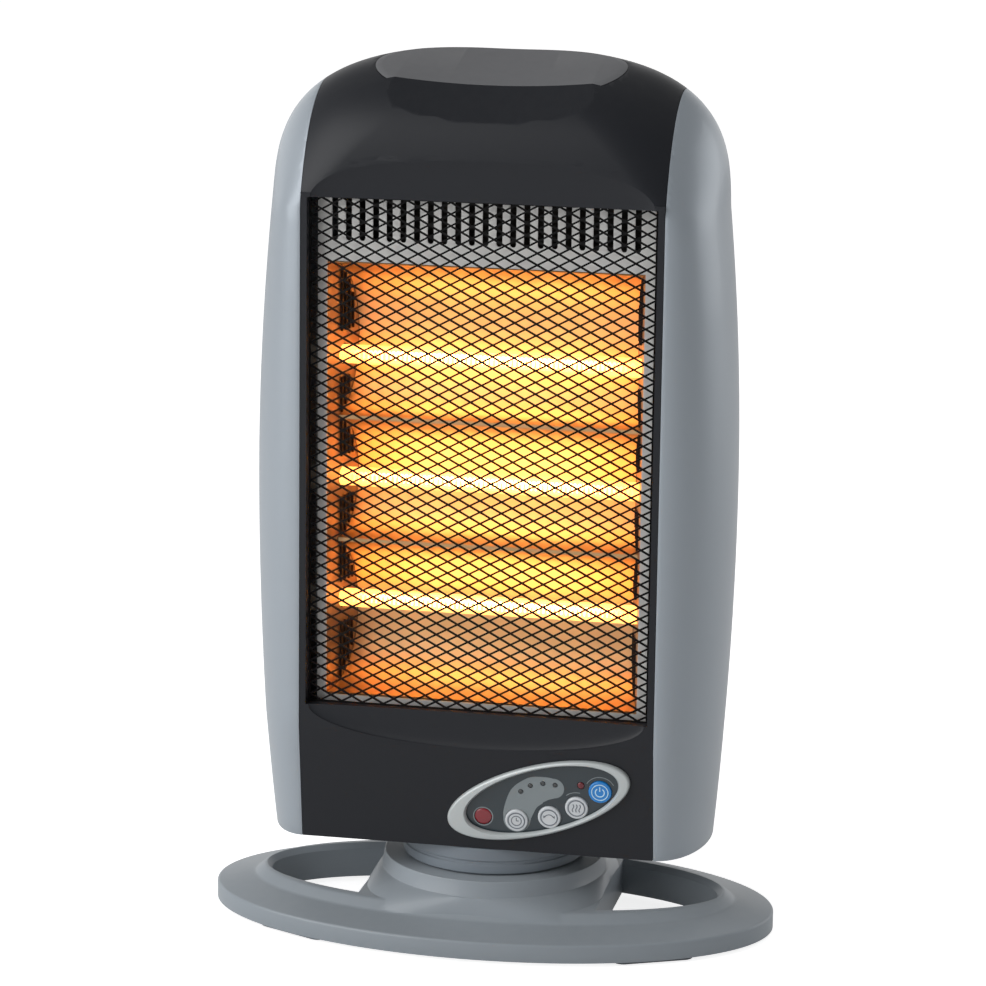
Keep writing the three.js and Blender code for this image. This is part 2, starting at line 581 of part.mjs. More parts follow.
const backing = scoops(SCOOP_WALL).intersect(outer)
  .intersect(block([-FAR, -FAR, -FAR], [FAR, RETURN_BACK, FAR]));
const frontHalf = cut(headShell, capSeat, chamfer).intersect(middleSlab).intersect(beforeSplit);
const fascia = cut(
  joined(frontHalf, windowReturn, backing),
  windowTool,
  scoops(0),
  inHead(prism(overlayOutline(GAP), -3 * WALL, 3 * WALL)),
);
addPart(head, 'front_fascia', fascia, BLACK());

// ---------------------------------------------------------------- rear cover
const REAR_VENT_ROWS = 11;
const REAR_VENT_PITCH = 20;
const REAR_VENT_BOTTOM = 170;
const REAR_VENT_HEIGHT = 4;
const REAR_VENT_LENGTH = 38;
const REAR_VENT_COLUMNS = [-50, 0, 50];
const behindSplit = block([-SEAM_X + SEAM_GAP, 0, -FAR], [SEAM_X - SEAM_GAP, FAR, FAR]);
const rearVents = REAR_VENT_COLUMNS.flatMap((x) => Array.from({ length: REAR_VENT_ROWS }, (_, row) => {
  const z = REAR_VENT_BOTTOM + row * REAR_VENT_PITCH;
  return block([x - REAR_VENT_LENGTH / 2, BACK_Y - 2 * WALL, z],
    [x + REAR_VENT_LENGTH / 2, BACK_Y + WALL, z + REAR_VENT_HEIGHT]);
}));
const rearCover = cut(
  headShell.intersect(behindSplit)
    .intersect(block([-FAR, REAR_SPLIT_Y + SEAM_GAP, -FAR], [FAR, FAR, FAR])),
  capSeat,
  ...rearVents,
);
addPart(head, 'rear_cover', rearCover, finish(0x24272c, 0.5));

// ---------------------------------------------------------------- head floor and collar
const FLOOR_TOP = HEAD_BOTTOM + FLOOR_THICKNESS;
const crankHole = disc(CRANK_BOSS_RADIUS + RUN, 0, FAR).translate(0, CRANK_DISTANCE, 0);
const pivotHole = disc(PIVOT_RADIUS + RUN, 0, FAR);
const headFloor = cut(
  headForm(WALL + GAP).intersect(block([-FAR, -FAR, HEAD_BOTTOM], [FAR, FAR, FLOOR_TOP])),
  pivotHole, crankHole,
);
addPart(head, 'head_floor', headFloor, BLACK());

const COLLAR_BOTTOM = HUB_TOP + RUN;
const collar = pipe(COLLAR_RADIUS, COLLAR_RADIUS - WALL, COLLAR_BOTTOM, HEAD_BOTTOM - GAP, 40);
addPart(head, 'neck_collar', collar, GREY());

// ---------------------------------------------------------------- grille
// Expanded metal: a flat sheet with staggered diamond openings.
const grilleHalf = WINDOW_HALF_WIDTH + GRILLE_OVERLAP;
const grilleLow = WINDOW_BOTTOM - GRILLE_OVERLAP;
const grilleHigh = WINDOW_TOP + GRILLE_OVERLAP;
const meshWidth = 2 * (grilleHalf - GRILLE_BORDER);
const meshHeight = grilleHigh - grilleLow - 2 * GRILLE_BORDER;
const cellWidth = meshWidth / GRILLE_COLUMNS;
const cellHeight = meshHeight / GRILLE_ROWS;
const diamond = (x, z) => {
  const halfWidth = (cellWidth - GRILLE_STRAND * 1.6) / 2;
  const halfHeight = (cellHeight - GRILLE_STRAND * 1.6) / 2;
  return new THREE.Path([[halfWidth, 0], [0, halfHeight], [-halfWidth, 0], [0, -halfHeight]]
    .map(([dx, dz]) => new THREE.Vector2(x + dx, z + dz)));
};
const sheet = new THREE.Shape([
  [-grilleHalf, grilleLow], [grilleHalf, grilleLow], [grilleHalf, grilleHigh], [-grilleHalf, grilleHigh],
].map(([x, z]) => new THREE.Vector2(x, z)));
for (let row = 0; row < 2 * GRILLE_ROWS - 1; row++) {
  const staggered = row % 2;
  for (let column = 0; column < GRILLE_COLUMNS - staggered; column++) {
    sheet.holes.push(diamond(
      -meshWidth / 2 + (column + 0.5 + staggered / 2) * cellWidth,
      grilleLow + GRILLE_BORDER + (row + 1) * (cellHeight / 2)));
  }
}
const GRILLE_Y = RETURN_BACK + GAP;
const grille = addPart(head, 'grille', solid(
  new THREE.ExtrudeGeometry(sheet, { depth: GRILLE_THICKNESS, bevelEnabled: false })
    .rotateX(Math.PI / 2)), finish(0x101114, 0.5, 0.6));
grille.position.y = GRILLE_Y + GRILLE_THICKNESS;

// ---------------------------------------------------------------- bright front plate
const vents = Array.from({ length: VENT_COUNT }, (_, i) => {
  const x = (i - (VENT_COUNT - 1) / 2) * VENT_PITCH;
  return block([x - VENT_WIDTH / 2, -FAR, VENT_BOTTOM], [x + VENT_WIDTH / 2, 0, VENT_TOP]);
});
const frontPlate = cut(
  block([-PANEL_HALF_WIDTH, PANEL_Y, PANEL_BOTTOM], [PANEL_HALF_WIDTH, PANEL_Y + SHEET, PANEL_TOP]),
  block([-MOUTH_HALF_WIDTH, -FAR, MOUTH_BOTTOM], [MOUTH_HALF_WIDTH, 0, MOUTH_TOP]),
  ...vents,
);
addPart(head, 'front_plate', frontPlate, MIRROR());

// ---------------------------------------------------------------- reflector
const MOUTH_Y = PANEL_Y + SHEET + GAP;
const edges = [MOUTH_BOTTOM, ...RIDGE_HEIGHTS, MOUTH_TOP];
const TROUGH_STEPS = 10;
// The sheet's front side from bottom to top: three half ellipses that meet at the ridges.
function troughLine(back, margin) {
  return edges.slice(0, -1).flatMap((low, trough) => {
    const high = edges[trough + 1];
    const startY = trough === 0 ? MOUTH_Y : MOUTH_Y + RIDGE_SETBACK;
    const endY = trough === 2 ? MOUTH_Y : MOUTH_Y + RIDGE_SETBACK;
    return Array.from({ length: TROUGH_STEPS + 1 }, (_, i) => {
      const angle = (Math.PI * i) / TROUGH_STEPS;
      const share = i / TROUGH_STEPS;
      const rim = startY * (1 - share) + endY * share;
      const depth = MOUTH_Y + TROUGH_DEPTH - rim;
      const half = (high - low) / 2 - margin;
      return [rim + depth * Math.sin(angle) + back, (low + high) / 2 - half * Math.cos(angle)];
    });
  });
}
const frontLine = troughLine(0, SHEET);
const backLine = troughLine(SHEET, -SHEET / 2).reverse();
const wedgeDepth = TROUGH_DEPTH + 2 * SHEET;
const wedgeFront = MOUTH_HALF_WIDTH - GAP;
const wedgeBack = wedgeFront - (END_FLARE * wedgeDepth) / TROUGH_DEPTH;
const mouthWedge = prism([
  [-wedgeFront, MOUTH_Y], [wedgeFront, MOUTH_Y],
  [wedgeBack, MOUTH_Y + wedgeDepth], [-wedgeBack, MOUTH_Y + wedgeDepth],
], 0, FAR);
const reflector = barAlongX([...frontLine, ...backLine], MOUTH_HALF_WIDTH).intersect(mouthWedge);
addPart(head, 'reflector', reflector, MIRROR());

// End plates: lean in towards the back, with a hole round each tube.
const TUBE_Y = MOUTH_Y + TUBE_SETBACK;
const END_BACK_Y = MOUTH_Y + TROUGH_DEPTH;
const endHoles = TUBE_HEIGHTS.map((z) => solid(
  new THREE.CylinderGeometry(TUBE_RADIUS + RUN, TUBE_RADIUS + RUN, FAR, 20)
    .rotateZ(Math.PI / 2).translate(0, TUBE_Y, z)));
for (const [name, side] of [['end_plate_left', -1], ['end_plate_right', 1]]) {
  const face = side * MOUTH_HALF_WIDTH;
  const lean = side * END_FLARE;
  const outline = [
    [face, MOUTH_Y], [face + side * SHEET, MOUTH_Y],
    [face - lean + side * SHEET, END_BACK_Y], [face - lean, END_BACK_Y]];
  const plate = prism(side > 0 ? outline : outline.reverse(), MOUTH_BOTTOM, MOUTH_TOP);
  addPart(head, name, cut(plate, ...endHoles), MIRROR());
}

// ---------------------------------------------------------------- quartz tubes
// A round bar along X.
function rodAlongX(radius, from, to, y, z, segments = 12) {
  const geometry = new THREE.CylinderGeometry(radius, radius, to - from, segments);
  return solid(geometry.rotateZ(Math.PI / 2).translate((from + to) / 2, y, z));
}
const ceramicDepth = CERAMIC_HALF_WIDTH + TUBE_WALL;
const CAP_START = MOUTH_HALF_WIDTH + SHEET + GAP
  - (END_FLARE * (TUBE_SETBACK - ceramicDepth)) / TROUGH_DEPTH;
const TUBE_HALF_LENGTH = CAP_START + TUBE_SEAT;
TUBE_HEIGHTS.forEach((z, index) => {
  const number = index + 1;
  const tube = cut(
    rodAlongX(TUBE_RADIUS, -TUBE_HALF_LENGTH, TUBE_HALF_LENGTH, TUBE_Y, z),
    rodAlongX(TUBE_RADIUS - TUBE_WALL, -FAR, FAR, TUBE_Y, z));
  addPart(head, `quartz_tube_${number}`, tube, GLASS());
  const filamentHalf = TUBE_HALF_LENGTH - GAP;
  addPart(head, `filament_${number}`,
    rodAlongX(FILAMENT_RADIUS, -filamentHalf, filamentHalf, TUBE_Y, z, 8), TUNGSTEN());
  for (const [name, side] of [['left', -1], ['right', 1]]) {
    const from = CAP_START;
    const to = from + CERAMIC_LENGTH;
    const socketEnd = TUBE_HALF_LENGTH + GAP;
    const body = block(
      [from, TUBE_Y - ceramicDepth, z - CERAMIC_HALF_HEIGHT],
      [to, TUBE_Y + ceramicDepth, z + CERAMIC_HALF_HEIGHT]);
    const cap = cut(body, rodAlongX(TUBE_RADIUS + GAP, 0, socketEnd, TUBE_Y, z));
    const placed = side > 0 ? cap : cap.rotate([0, 0, 180]).translate([0, 2 * TUBE_Y, 0]);
    addPart(head, `ceramic_end_${name}_${number}`, placed, CERAMIC());
  }
});
const bracketWindow = (z) => block(
  [-FAR, TUBE_Y - ceramicDepth - GAP, z - CERAMIC_HALF_HEIGHT - GAP],
  [FAR, TUBE_Y + ceramicDepth + GAP, z + CERAMIC_HALF_HEIGHT + GAP]);
const bracketLow = TUBE_HEIGHTS[0] - CERAMIC_HALF_HEIGHT - BRACKET_END_MARGIN;
const bracketHigh = TUBE_HEIGHTS.at(-1) + CERAMIC_HALF_HEIGHT + BRACKET_END_MARGIN;
for (const [name, side] of [['left', -1], ['right', 1]]) {
  const near = side * (CAP_START + BRACKET_SETBACK + SHEET);
  const strip = block(
    [Math.min(near, near - side * SHEET), TUBE_Y - BRACKET_HALF_WIDTH, bracketLow],
    [Math.max(near, near - side * SHEET), TUBE_Y + BRACKET_HALF_WIDTH, bracketHigh]);
  addPart(head, `tube_bracket_${name}`, cut(strip, ...TUBE_HEIGHTS.map(bracketWindow)), STEEL());
}

// Heat shield: a channel that wraps the heating unit from behind.
const SHIELD_Y = PANEL_Y + SHIELD_SETBACK;
const shieldTop = VENT_TOP + 2 * SHEET;
const shield = barAlongX([
  [MOUTH_Y, PANEL_BOTTOM], [SHIELD_Y, PANEL_BOTTOM],
  [SHIELD_Y, shieldTop], [MOUTH_Y, shieldTop],
  [MOUTH_Y, shieldTop - SHEET], [SHIELD_Y - SHEET, shieldTop - SHEET],
  [SHIELD_Y - SHEET, PANEL_BOTTOM + SHEET], [MOUTH_Y, PANEL_BOTTOM + SHEET],
], PANEL_HALF_WIDTH);
addPart(head, 'heat_shield', shield, STEEL());

// ---------------------------------------------------------------- control panel
const OVERLAY_TOP = -GAP;
const OVERLAY_BOTTOM = OVERLAY_TOP - OVERLAY_THICKNESS;
const bezel = cut(
  prism(tiltedOval(BEZEL_HALF_LENGTH, BEZEL_HALF_HEIGHT), GAP, GAP + BEZEL_HEIGHT),
  prism(overlayOutline(-BEZEL_LIP), -FAR / 2, FAR / 2));
addPart(control, 'control_bezel', bezel, finish(0xaeb3b8, 0.3, 0.7));

const LAMPS = [
  ...LED_PLACES.map((place, index) => [`heat_led_${index + 1}`, place, LED_RADIUS]),
  ['power_led', POWER_LED_PLACE, POWER_LED_RADIUS],
];
const openings = [
  ...Object.values(BUTTON_PLACES).map((place) => [place, BUTTON_RADIUS + GAP, 20]),
  [LENS_PLACE, LENS_RADIUS + GAP, 16],
  ...LAMPS.map(([, place, radius]) => [place, radius + GAP, 8]),
].map(([[x, y], radius, segments]) => disc(radius, -FAR / 2, FAR / 2, segments).translate(x, y, 0));
const overlay = cut(prism(overlayOutline(0), OVERLAY_BOTTOM, OVERLAY_TOP), ...openings);
addPart(control, 'control_overlay', overlay, finish(0x39424d, 0.35));

const boardTop = -BOARD_DEPTH;
const SWITCH_SIZE = 6;
const SWITCH_HEIGHT = 3.5;
const switches = Object.values(BUTTON_PLACES).map(([x, y]) => block(
  [x - SWITCH_SIZE / 2, y - SWITCH_SIZE / 2, boardTop - BOARD_THICKNESS / 2],
  [x + SWITCH_SIZE / 2, y + SWITCH_SIZE / 2, boardTop + SWITCH_HEIGHT]));
const BOARD_MARGIN = 4;
const boardHalfLength = OVERLAY_HALF_LENGTH + BOARD_MARGIN;
const boardHalfHeight = OVERLAY_HALF_HEIGHT + BOARD_MARGIN;
const controlBoard = joined(
  block([-boardHalfLength, -boardHalfHeight, boardTop - BOARD_THICKNESS],
    [boardHalfLength, boardHalfHeight, boardTop]),
  ...switches);
addPart(control, 'control_board', controlBoard, BOARD());

// Push buttons: a cap through the overlay, a flange behind it and a stem over the switch.
const FLANGE_TOP = OVERLAY_BOTTOM - GAP;
const STEM_RADIUS = 2;
const stemEnd = boardTop + SWITCH_HEIGHT + BUTTON_TRAVEL + GAP;
for (const [name, [x, y]] of Object.entries(BUTTON_PLACES)) {
  const button = joined(
    disc(BUTTON_RADIUS, FLANGE_TOP - BUTTON_FLANGE / 2, OVERLAY_TOP + BUTTON_PROUD, 20),
    disc(BUTTON_RADIUS + BUTTON_CATCH, FLANGE_TOP - BUTTON_FLANGE, FLANGE_TOP, 20),
    disc(STEM_RADIUS, stemEnd, FLANGE_TOP, 8)).translate(x, y, 0);
  addPart(control, `${name}_button`, button, finish(name === 'power' ? 0x2f7fd0 : 0xe9ecef, 0.35));
}
const LENS_FLANGE = 1.2;
const lens = joined(
  disc(LENS_RADIUS, FLANGE_TOP - BUTTON_FLANGE / 2, OVERLAY_TOP + BUTTON_PROUD / 2, 16),
  disc(LENS_RADIUS + LENS_FLANGE, FLANGE_TOP - BUTTON_FLANGE, FLANGE_TOP, 16),
).translate(...LENS_PLACE, 0);
addPart(control, 'remote_lens', lens, finish(0x8a1420, 0.2));
for (const [name, [x, y], radius] of LAMPS) {
  addPart(control, name,
    disc(radius, boardTop + GAP, OVERLAY_TOP + GAP, 8).translate(x, y, 0), finish(0xd8d8cf, 0.3));
}

// ---------------------------------------------------------------- swing drive
const MOTOR_BOTTOM = FLOOR_TOP + GAP;
const MOTOR_OFFSET = 1.5; // the output shaft sits off the motor's centre
const MOTOR_Y = CRANK_DISTANCE + MOTOR_OFFSET;
const SHAFT_REACH = 4; // of the crank's boss into the motor
const BOSS_TOP = MOTOR_BOTTOM + SHAFT_REACH;
const motor = cut(
  disc(MOTOR_RADIUS, MOTOR_BOTTOM, MOTOR_BOTTOM + MOTOR_HEIGHT).translate(0, MOTOR_Y, 0),
  disc(CRANK_BOSS_RADIUS + RUN, 0, BOSS_TOP + RUN).translate(0, CRANK_DISTANCE, 0));
addPart(head, 'swing_motor', motor, STEEL());

const ARM_BOTTOM = SWIVEL_PLATE_TOP + RUN;
const ARM_TOP = ARM_BOTTOM + CRANK_ARM_THICKNESS;
const crank = joined(
  prism(stadium(CRANK_THROW + 2 * CRANK_ARM_HALF_WIDTH, 2 * CRANK_ARM_HALF_WIDTH), ARM_BOTTOM, ARM_TOP)
    .rotate([0, 0, 90]).translate(0, CRANK_THROW / 2, 0),
  disc(CRANK_BOSS_RADIUS, ARM_BOTTOM, BOSS_TOP, 20),
  disc(CRANK_PIN_RADIUS, SWIVEL_PLATE_BOTTOM + GAP, ARM_TOP, 12).translate(0, CRANK_THROW, 0),
).translate(0, CRANK_DISTANCE, 0);
addPart(head, 'swing_crank', crank, finish(0xf0efe9, 0.5));

// ---------------------------------------------------------------- tip-over switch
const TIP_X = -62;
const TIP_Y = 8;
const TIP_WIDTH = 20; // between the outer faces of the cheeks
const TIP_DEPTH = 30;
const TIP_HEIGHT = 34;
const TIP_WALL = 1.5;
const TIP_PIN_RADIUS = 1.5;
const TIP_PIN_DROP = 5;
const BOB_RADIUS = 6;
const tipBottom = FLOOR_TOP + GAP;
const tipTop = tipBottom + TIP_HEIGHT;
const pinZ = tipTop - TIP_PIN_DROP;
const pinBar = (radius, halfLength, segments) =>
  rodAlongX(radius, -halfLength, halfLength, 0, pinZ, segments);
const tipBox = joined(
  cut(
    block([-TIP_WIDTH / 2, -TIP_DEPTH / 2, tipBottom], [TIP_WIDTH / 2, TIP_DEPTH / 2, tipTop]),
    block([-TIP_WIDTH / 2 + TIP_WALL, -FAR, tipBottom + TIP_WALL], [TIP_WIDTH / 2 - TIP_WALL, FAR, FAR])),
  pinBar(TIP_PIN_RADIUS, TIP_WIDTH / 2 - TIP_WALL / 2, 12),
).translate(TIP_X, TIP_Y, 0);
addPart(head, 'tip_switch_frame', tipBox, finish(0x22262a, 0.6));
const TIP_EYE_WALL = 2; // round the pin
const ARM_HALF_THICKNESS = 2;
const BOB_HALF_LENGTH = 5;
const BOB_CLEARANCE = 1.8; // over the frame's floor
const bobZ = tipBottom + TIP_WALL + BOB_CLEARANCE + BOB_RADIUS;
const armHalf = TIP_PIN_RADIUS + GAP + TIP_EYE_WALL;
const pendulum = cut(
  joined(
    block([-ARM_HALF_THICKNESS, -armHalf, bobZ], [ARM_HALF_THICKNESS, armHalf, pinZ + armHalf]),
    rodAlongX(BOB_RADIUS, -BOB_HALF_LENGTH, BOB_HALF_LENGTH, 0, bobZ, 20)),
  pinBar(TIP_PIN_RADIUS + GAP, FAR / 2, 12),
).translate(TIP_X, TIP_Y, 0);
addPart(head, 'tip_pendulum', pendulum, STEEL());

// ---------------------------------------------------------------- power electronics
const POWER_BOARD_X = 36; // left edge of the upright board
const POWER_BOARD_Y = 12;
const POWER_BOARD_WIDTH = 50;
const POWER_BOARD_HEIGHT = 54;
const RELAY_WIDTH = 18;
const RELAY_HEIGHT = 16;
const RELAY_DEPTH = 14;
const RELAY_MARGIN = 5;
const powerBottom = FLOOR_TOP + GAP;
const relayBottom = powerBottom + RELAY_MARGIN;
const relays = [RELAY_MARGIN, POWER_BOARD_WIDTH - RELAY_MARGIN - RELAY_WIDTH].map((inset) => {
  const left = POWER_BOARD_X + inset;
  return block([left, POWER_BOARD_Y + BOARD_THICKNESS / 2, relayBottom],
    [left + RELAY_WIDTH, POWER_BOARD_Y + RELAY_DEPTH, relayBottom + RELAY_HEIGHT]);
});
const powerBoard = joined(
  block([POWER_BOARD_X, POWER_BOARD_Y, powerBottom],
    [POWER_BOARD_X + POWER_BOARD_WIDTH, POWER_BOARD_Y + BOARD_THICKNESS, powerBottom + POWER_BOARD_HEIGHT]),
  ...relays);
addPart(head, 'power_board', powerBoard, BOARD());

const CUTOUT_RADIUS = 8;
const CUTOUT_HEIGHT = 10;
const cutoutY = SHIELD_Y + GAP + CUTOUT_HEIGHT / 2;
const cutout = solid(new THREE.CylinderGeometry(CUTOUT_RADIUS, CUTOUT_RADIUS, CUTOUT_HEIGHT, 20)
  .translate(0, cutoutY, TUBE_HEIGHTS.at(-1)));
addPart(head, 'thermal_cutout', cutout, CERAMIC());

export default heater;
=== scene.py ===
"""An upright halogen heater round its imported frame: oval foot, swinging head, three glowing tubes."""

import math

import bmesh
import bpy
import numpy as np
from mathutils import Matrix, Vector


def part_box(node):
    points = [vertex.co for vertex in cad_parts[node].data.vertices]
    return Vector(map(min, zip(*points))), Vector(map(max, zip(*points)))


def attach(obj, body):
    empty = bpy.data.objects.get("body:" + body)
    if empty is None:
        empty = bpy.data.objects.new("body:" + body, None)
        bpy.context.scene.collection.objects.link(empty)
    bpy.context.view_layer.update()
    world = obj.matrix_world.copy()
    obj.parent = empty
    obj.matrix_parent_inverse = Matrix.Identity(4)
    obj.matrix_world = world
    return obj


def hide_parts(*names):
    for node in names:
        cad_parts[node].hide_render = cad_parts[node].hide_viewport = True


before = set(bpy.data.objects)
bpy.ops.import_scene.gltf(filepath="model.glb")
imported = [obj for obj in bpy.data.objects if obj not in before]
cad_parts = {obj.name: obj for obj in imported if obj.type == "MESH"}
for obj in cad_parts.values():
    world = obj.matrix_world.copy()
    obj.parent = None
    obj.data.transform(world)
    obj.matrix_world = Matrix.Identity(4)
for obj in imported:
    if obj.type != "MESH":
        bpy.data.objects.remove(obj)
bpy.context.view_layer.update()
scene = bpy.context.scene

# ==== Camera
# The photograph looks down on the heater from a little right of its front, through a long lens,
# with the camera rolled by less than a degree.
CAMERA_PLACE = (0.3949, -1.9651, 0.6873)
CAMERA_AZIMUTH = math.radians(11.437)
CAMERA_PITCH = math.radians(12.665)
CAMERA_ROLL = math.radians(0.709)
CAMERA_LENS = 139.5  # mm
CAMERA_SENSOR = 36  # mm

camera = bpy.data.objects.new("camera", bpy.data.cameras.new("camera"))
scene.collection.objects.link(camera)
camera.data.lens = CAMERA_LENS
camera.data.sensor_width = CAMERA_SENSOR
camera.matrix_world = (
    Matrix.Translation(CAMERA_PLACE)
    @ Matrix.Rotation(CAMERA_AZIMUTH, 4, "Z")
    @ Matrix.Rotation(math.pi / 2 - CAMERA_PITCH, 4, "X")
    @ Matrix.Rotation(CAMERA_ROLL, 4, "Z")
)
scene.camera = camera

# ==== Studio
# A white floor that runs into a white backdrop, a large low soft box at the front left, a small one
# at the back right, and a weak even light from all round.
FLOOR_HALF = 6.0
FLOOR_COLOUR = (0.74, 0.74, 0.74, 1)
FLOOR_ROUGHNESS = 0.9
FLOOR_LIFT = 0.80  # the glow that keeps the floor white in the picture
FLOOR_SHINE = 0.25  # the same in glossy reflections
SKY_STRENGTH = 0.28
BACKDROP_STRENGTH = 0.75
BACKDROP_RAMPS = (("Y", 0.0, 0.6), ("Z", 0.55, 0.15))  # axis, where the white begins and is full
SOFT_BOXES = (  # name, place, size, watts
    ("front_left_box", (-1.9, -1.6, 1.45), 2.8, 66),
    ("back_right_box", (1.9, 1.1, 0.8), 1.5, 9),
)
AIM = Vector((0, 0, 0.25))
WHITE = (1, 1, 1, 1)


def add_piece(name, verts, faces):
    """A mesh object at the origin, with its place in its vertices."""
    piece = bpy.data.objects.new(name, bpy.data.meshes.new(name))
    scene.collection.objects.link(piece)
    piece.data.from_pydata([tuple(v) for v in verts], [], [tuple(f) for f in faces])
    piece.data.update()
    return piece


def wire(tree, node, inputs):
    """Sets each of a node's inputs to a value, or links it to another node's socket."""
    for name, value in inputs.items():
        if isinstance(value, bpy.types.NodeSocket):
            tree.links.new(value, node.inputs[name])
        else:
            node.inputs[name].default_value = value


def add_node(tree, kind, inputs=None, **settings):
    """Makes a node with its settings and inputs, and hands back its outputs."""
    node = tree.nodes.new(kind)
    for name, value in settings.items():
        setattr(node, name, value)
    wire(tree, node, inputs or {})
    return node.outputs


def calculate(tree, operation, *values, clamp=False):
    """The result of a Math node."""
    return add_node(tree, "ShaderNodeMath", dict(enumerate(values)), operation=operation, use_clamp=clamp)[0]


def eased(tree, value, start, end):
    """A soft ramp from 0 at start to 1 at end."""
    return add_node(tree, "ShaderNodeMapRange", {"Value": value, "From Min": start, "From Max": end},
                    interpolation_type="SMOOTHSTEP")["Result"]


def new_material(name):
    """A material with its Principled shader, ready to be wired."""
    material = bpy.data.materials.new(name)
    material.use_nodes = True
    return material, material.node_tree, material.node_tree.nodes["Principled BSDF"]


floor_corners = [(-FLOOR_HALF, -FLOOR_HALF, 0), (FLOOR_HALF, -FLOOR_HALF, 0),
                 (FLOOR_HALF, FLOOR_HALF, 0), (-FLOOR_HALF, FLOOR_HALF, 0)]
floor = add_piece("studio_floor", floor_corners, [(0, 1, 2, 3)])
floor_paint, floor_tree, floor_shader = new_material("studio_floor_paint")
seen = add_node(floor_tree, "ShaderNodeLightPath")
lift = calculate(floor_tree, "MULTIPLY", seen["Is Camera Ray"], FLOOR_LIFT)
glow = calculate(floor_tree, "MULTIPLY_ADD", seen["Is Glossy Ray"], FLOOR_SHINE, lift)
wire(floor_tree, floor_shader, {
    "Base Color": FLOOR_COLOUR, "Roughness": FLOOR_ROUGHNESS, "Specular IOR Level": 0,
    "Emission Color": WHITE, "Emission Strength": glow})
floor.data.materials.append(floor_paint)

scene.world = bpy.data.worlds.new("studio_sky")
scene.world.use_nodes = True
sky = scene.world.node_tree
direction = add_node(sky, "ShaderNodeSeparateXYZ", {0: add_node(sky, "ShaderNodeTexCoord")["Generated"]})
ramps = [eased(sky, direction[axis], start, end) for axis, start, end in BACKDROP_RAMPS]
backdrop = calculate(sky, "MULTIPLY", *ramps)
lit = calculate(sky, "MULTIPLY_ADD", backdrop, BACKDROP_STRENGTH, SKY_STRENGTH)
white_when_seen = calculate(sky, "MAXIMUM", add_node(sky, "ShaderNodeLightPath")["Is Camera Ray"], lit)
wire(sky, sky.nodes["Background"], {"Color": WHITE, "Strength": white_when_seen})
for name, place, size, watts in SOFT_BOXES:
    lamp = bpy.data.objects.new(name, bpy.data.lights.new(name, "AREA"))
    scene.collection.objects.link(lamp)
    lamp.data.size = size
    lamp.data.energy = watts
    lamp.location = place
    lamp.rotation_euler = (AIM - Vector(place)).to_track_quat("-Z", "Y").to_euler()
scene.view_settings.view_transform = "Standard"

# ==== Foot moulding
# One oval injection moulding in satin grey plastic: an upright rim, a rising band, a crest round
# two hand-sized openings, and a square-shouldered hub that carries the swivel.
PLASTIC_WALL = 0.0025
FIT_GAP = 0.0003
FOOT_HALF_WIDTH = 0.155
FOOT_HALF_DEPTH = 0.0854
FOOT_UNDERSIDE = 0.0025
RIM_TOP = 0.0125
RIM_ROUNDING = 0.0015
BAND_WIDTH = 0.021
BAND_TOP = 0.0165
BAND_BEND = ((-0.0015, -0.0003), (0, 0), (0.0010, 0.0007))  # about the band's inner edge
CREST_WIDTH = 0.006
CREST_TOP = 0.0215
CREST_BEND = ((-0.0012, -0.0009), (0, -0.0002), (0.0015, 0))  # about the crest's inner edge
OPENING_HALF_LENGTH = 0.1245
OPENING_HALF_DEPTH = 0.050
OPENING_LIP = 0.003
HUB_HALF_WIDTH = 0.065
HUB_HALF_DEPTH = 0.065
HUB_FLARE = 0.003
HUB_SQUARENESS = 5
HUB_STEP = 0.0275
HUB_EASE = 1.25
ROUND_EASE = 0.8
HUB_RISE = np.linspace(0.12, 1, 8)  # shares of the way from the band up to the step
HUB_TOP = 0.0365
BOSS_RADIUS = 0.0616
BOSS_TAPER = 0.0014
BOSS_LEDGE = 0.001
BOSS_CREASE = 0.0004
BOSS_ROUNDING = 0.0006
SWIVEL_Y = 0.003
PIVOT_HOLE = 0.0071
PIVOT_HOLE_BOTTOM = 0.001
GLAND_HEIGHT = 0.02475
GLAND_HOLE = 0.0048
GLAND_SEAT = 0.0063
GLAND_CUT = (0.045, 0.09)
FOOT_EDGE = 0.0006
FOOT_COLOUR = (0.288, 0.324, 0.358, 1)
DUST_COLOUR = (0.62, 0.61, 0.58, 1)
DUST_START = 0.55  # how far a surface has to face up
COAT_ROUGHNESS = 0.06
WELD = 2e-6
OVAL_POINTS = 160
FAR = 1.0  # the reach of a cutter
UPRIGHT_TO_DEEP = Matrix(((1, 0, 0, 0), (0, 0, 1, 0), (0, -1, 0, 0), (0, 0, 0, 1)))


def super_oval(half_x, half_y, squareness=2, points=OVAL_POINTS):
    """Points round a superellipse, anticlockwise from above."""
    angle = np.linspace(0, 2 * math.pi, points, endpoint=False)

    def bent(ray):
        return np.sign(ray) * np.abs(ray) ** (2 / squareness)

    return np.stack([half_x * bent(np.cos(angle)), half_y * bent(np.sin(angle))], 1)


def circle(radius, points=48):
    return super_oval(radius, radius, 2, points)


def loft(name, rings):
    """A closed skin through rings of equally many points, from the lowest to the highest."""
    count = len(rings[0])
    verts = np.concatenate(rings)
    faces = [tuple(range(count))[::-1], tuple(range(len(verts) - count, len(verts)))]
    for level in range(len(rings) - 1):
        for i in range(count):
            a, b = level * count + i, level * count + (i + 1) % count
            faces.append((a, b, b + count, a + count))
    return add_piece(name, verts, faces)


def at_height(outline, z, y=0.0):
    """An outline lifted to z, moved back by y."""
    return np.column_stack([outline[:, 0], outline[:, 1] + y, np.full(len(outline), z)])


def turned(name, profile, points=48, y=0.0):
    """A round piece about Z, from pairs of radius and height."""
    return loft(name, [at_height(circle(radius, points), z, y) for radius, z in profile])


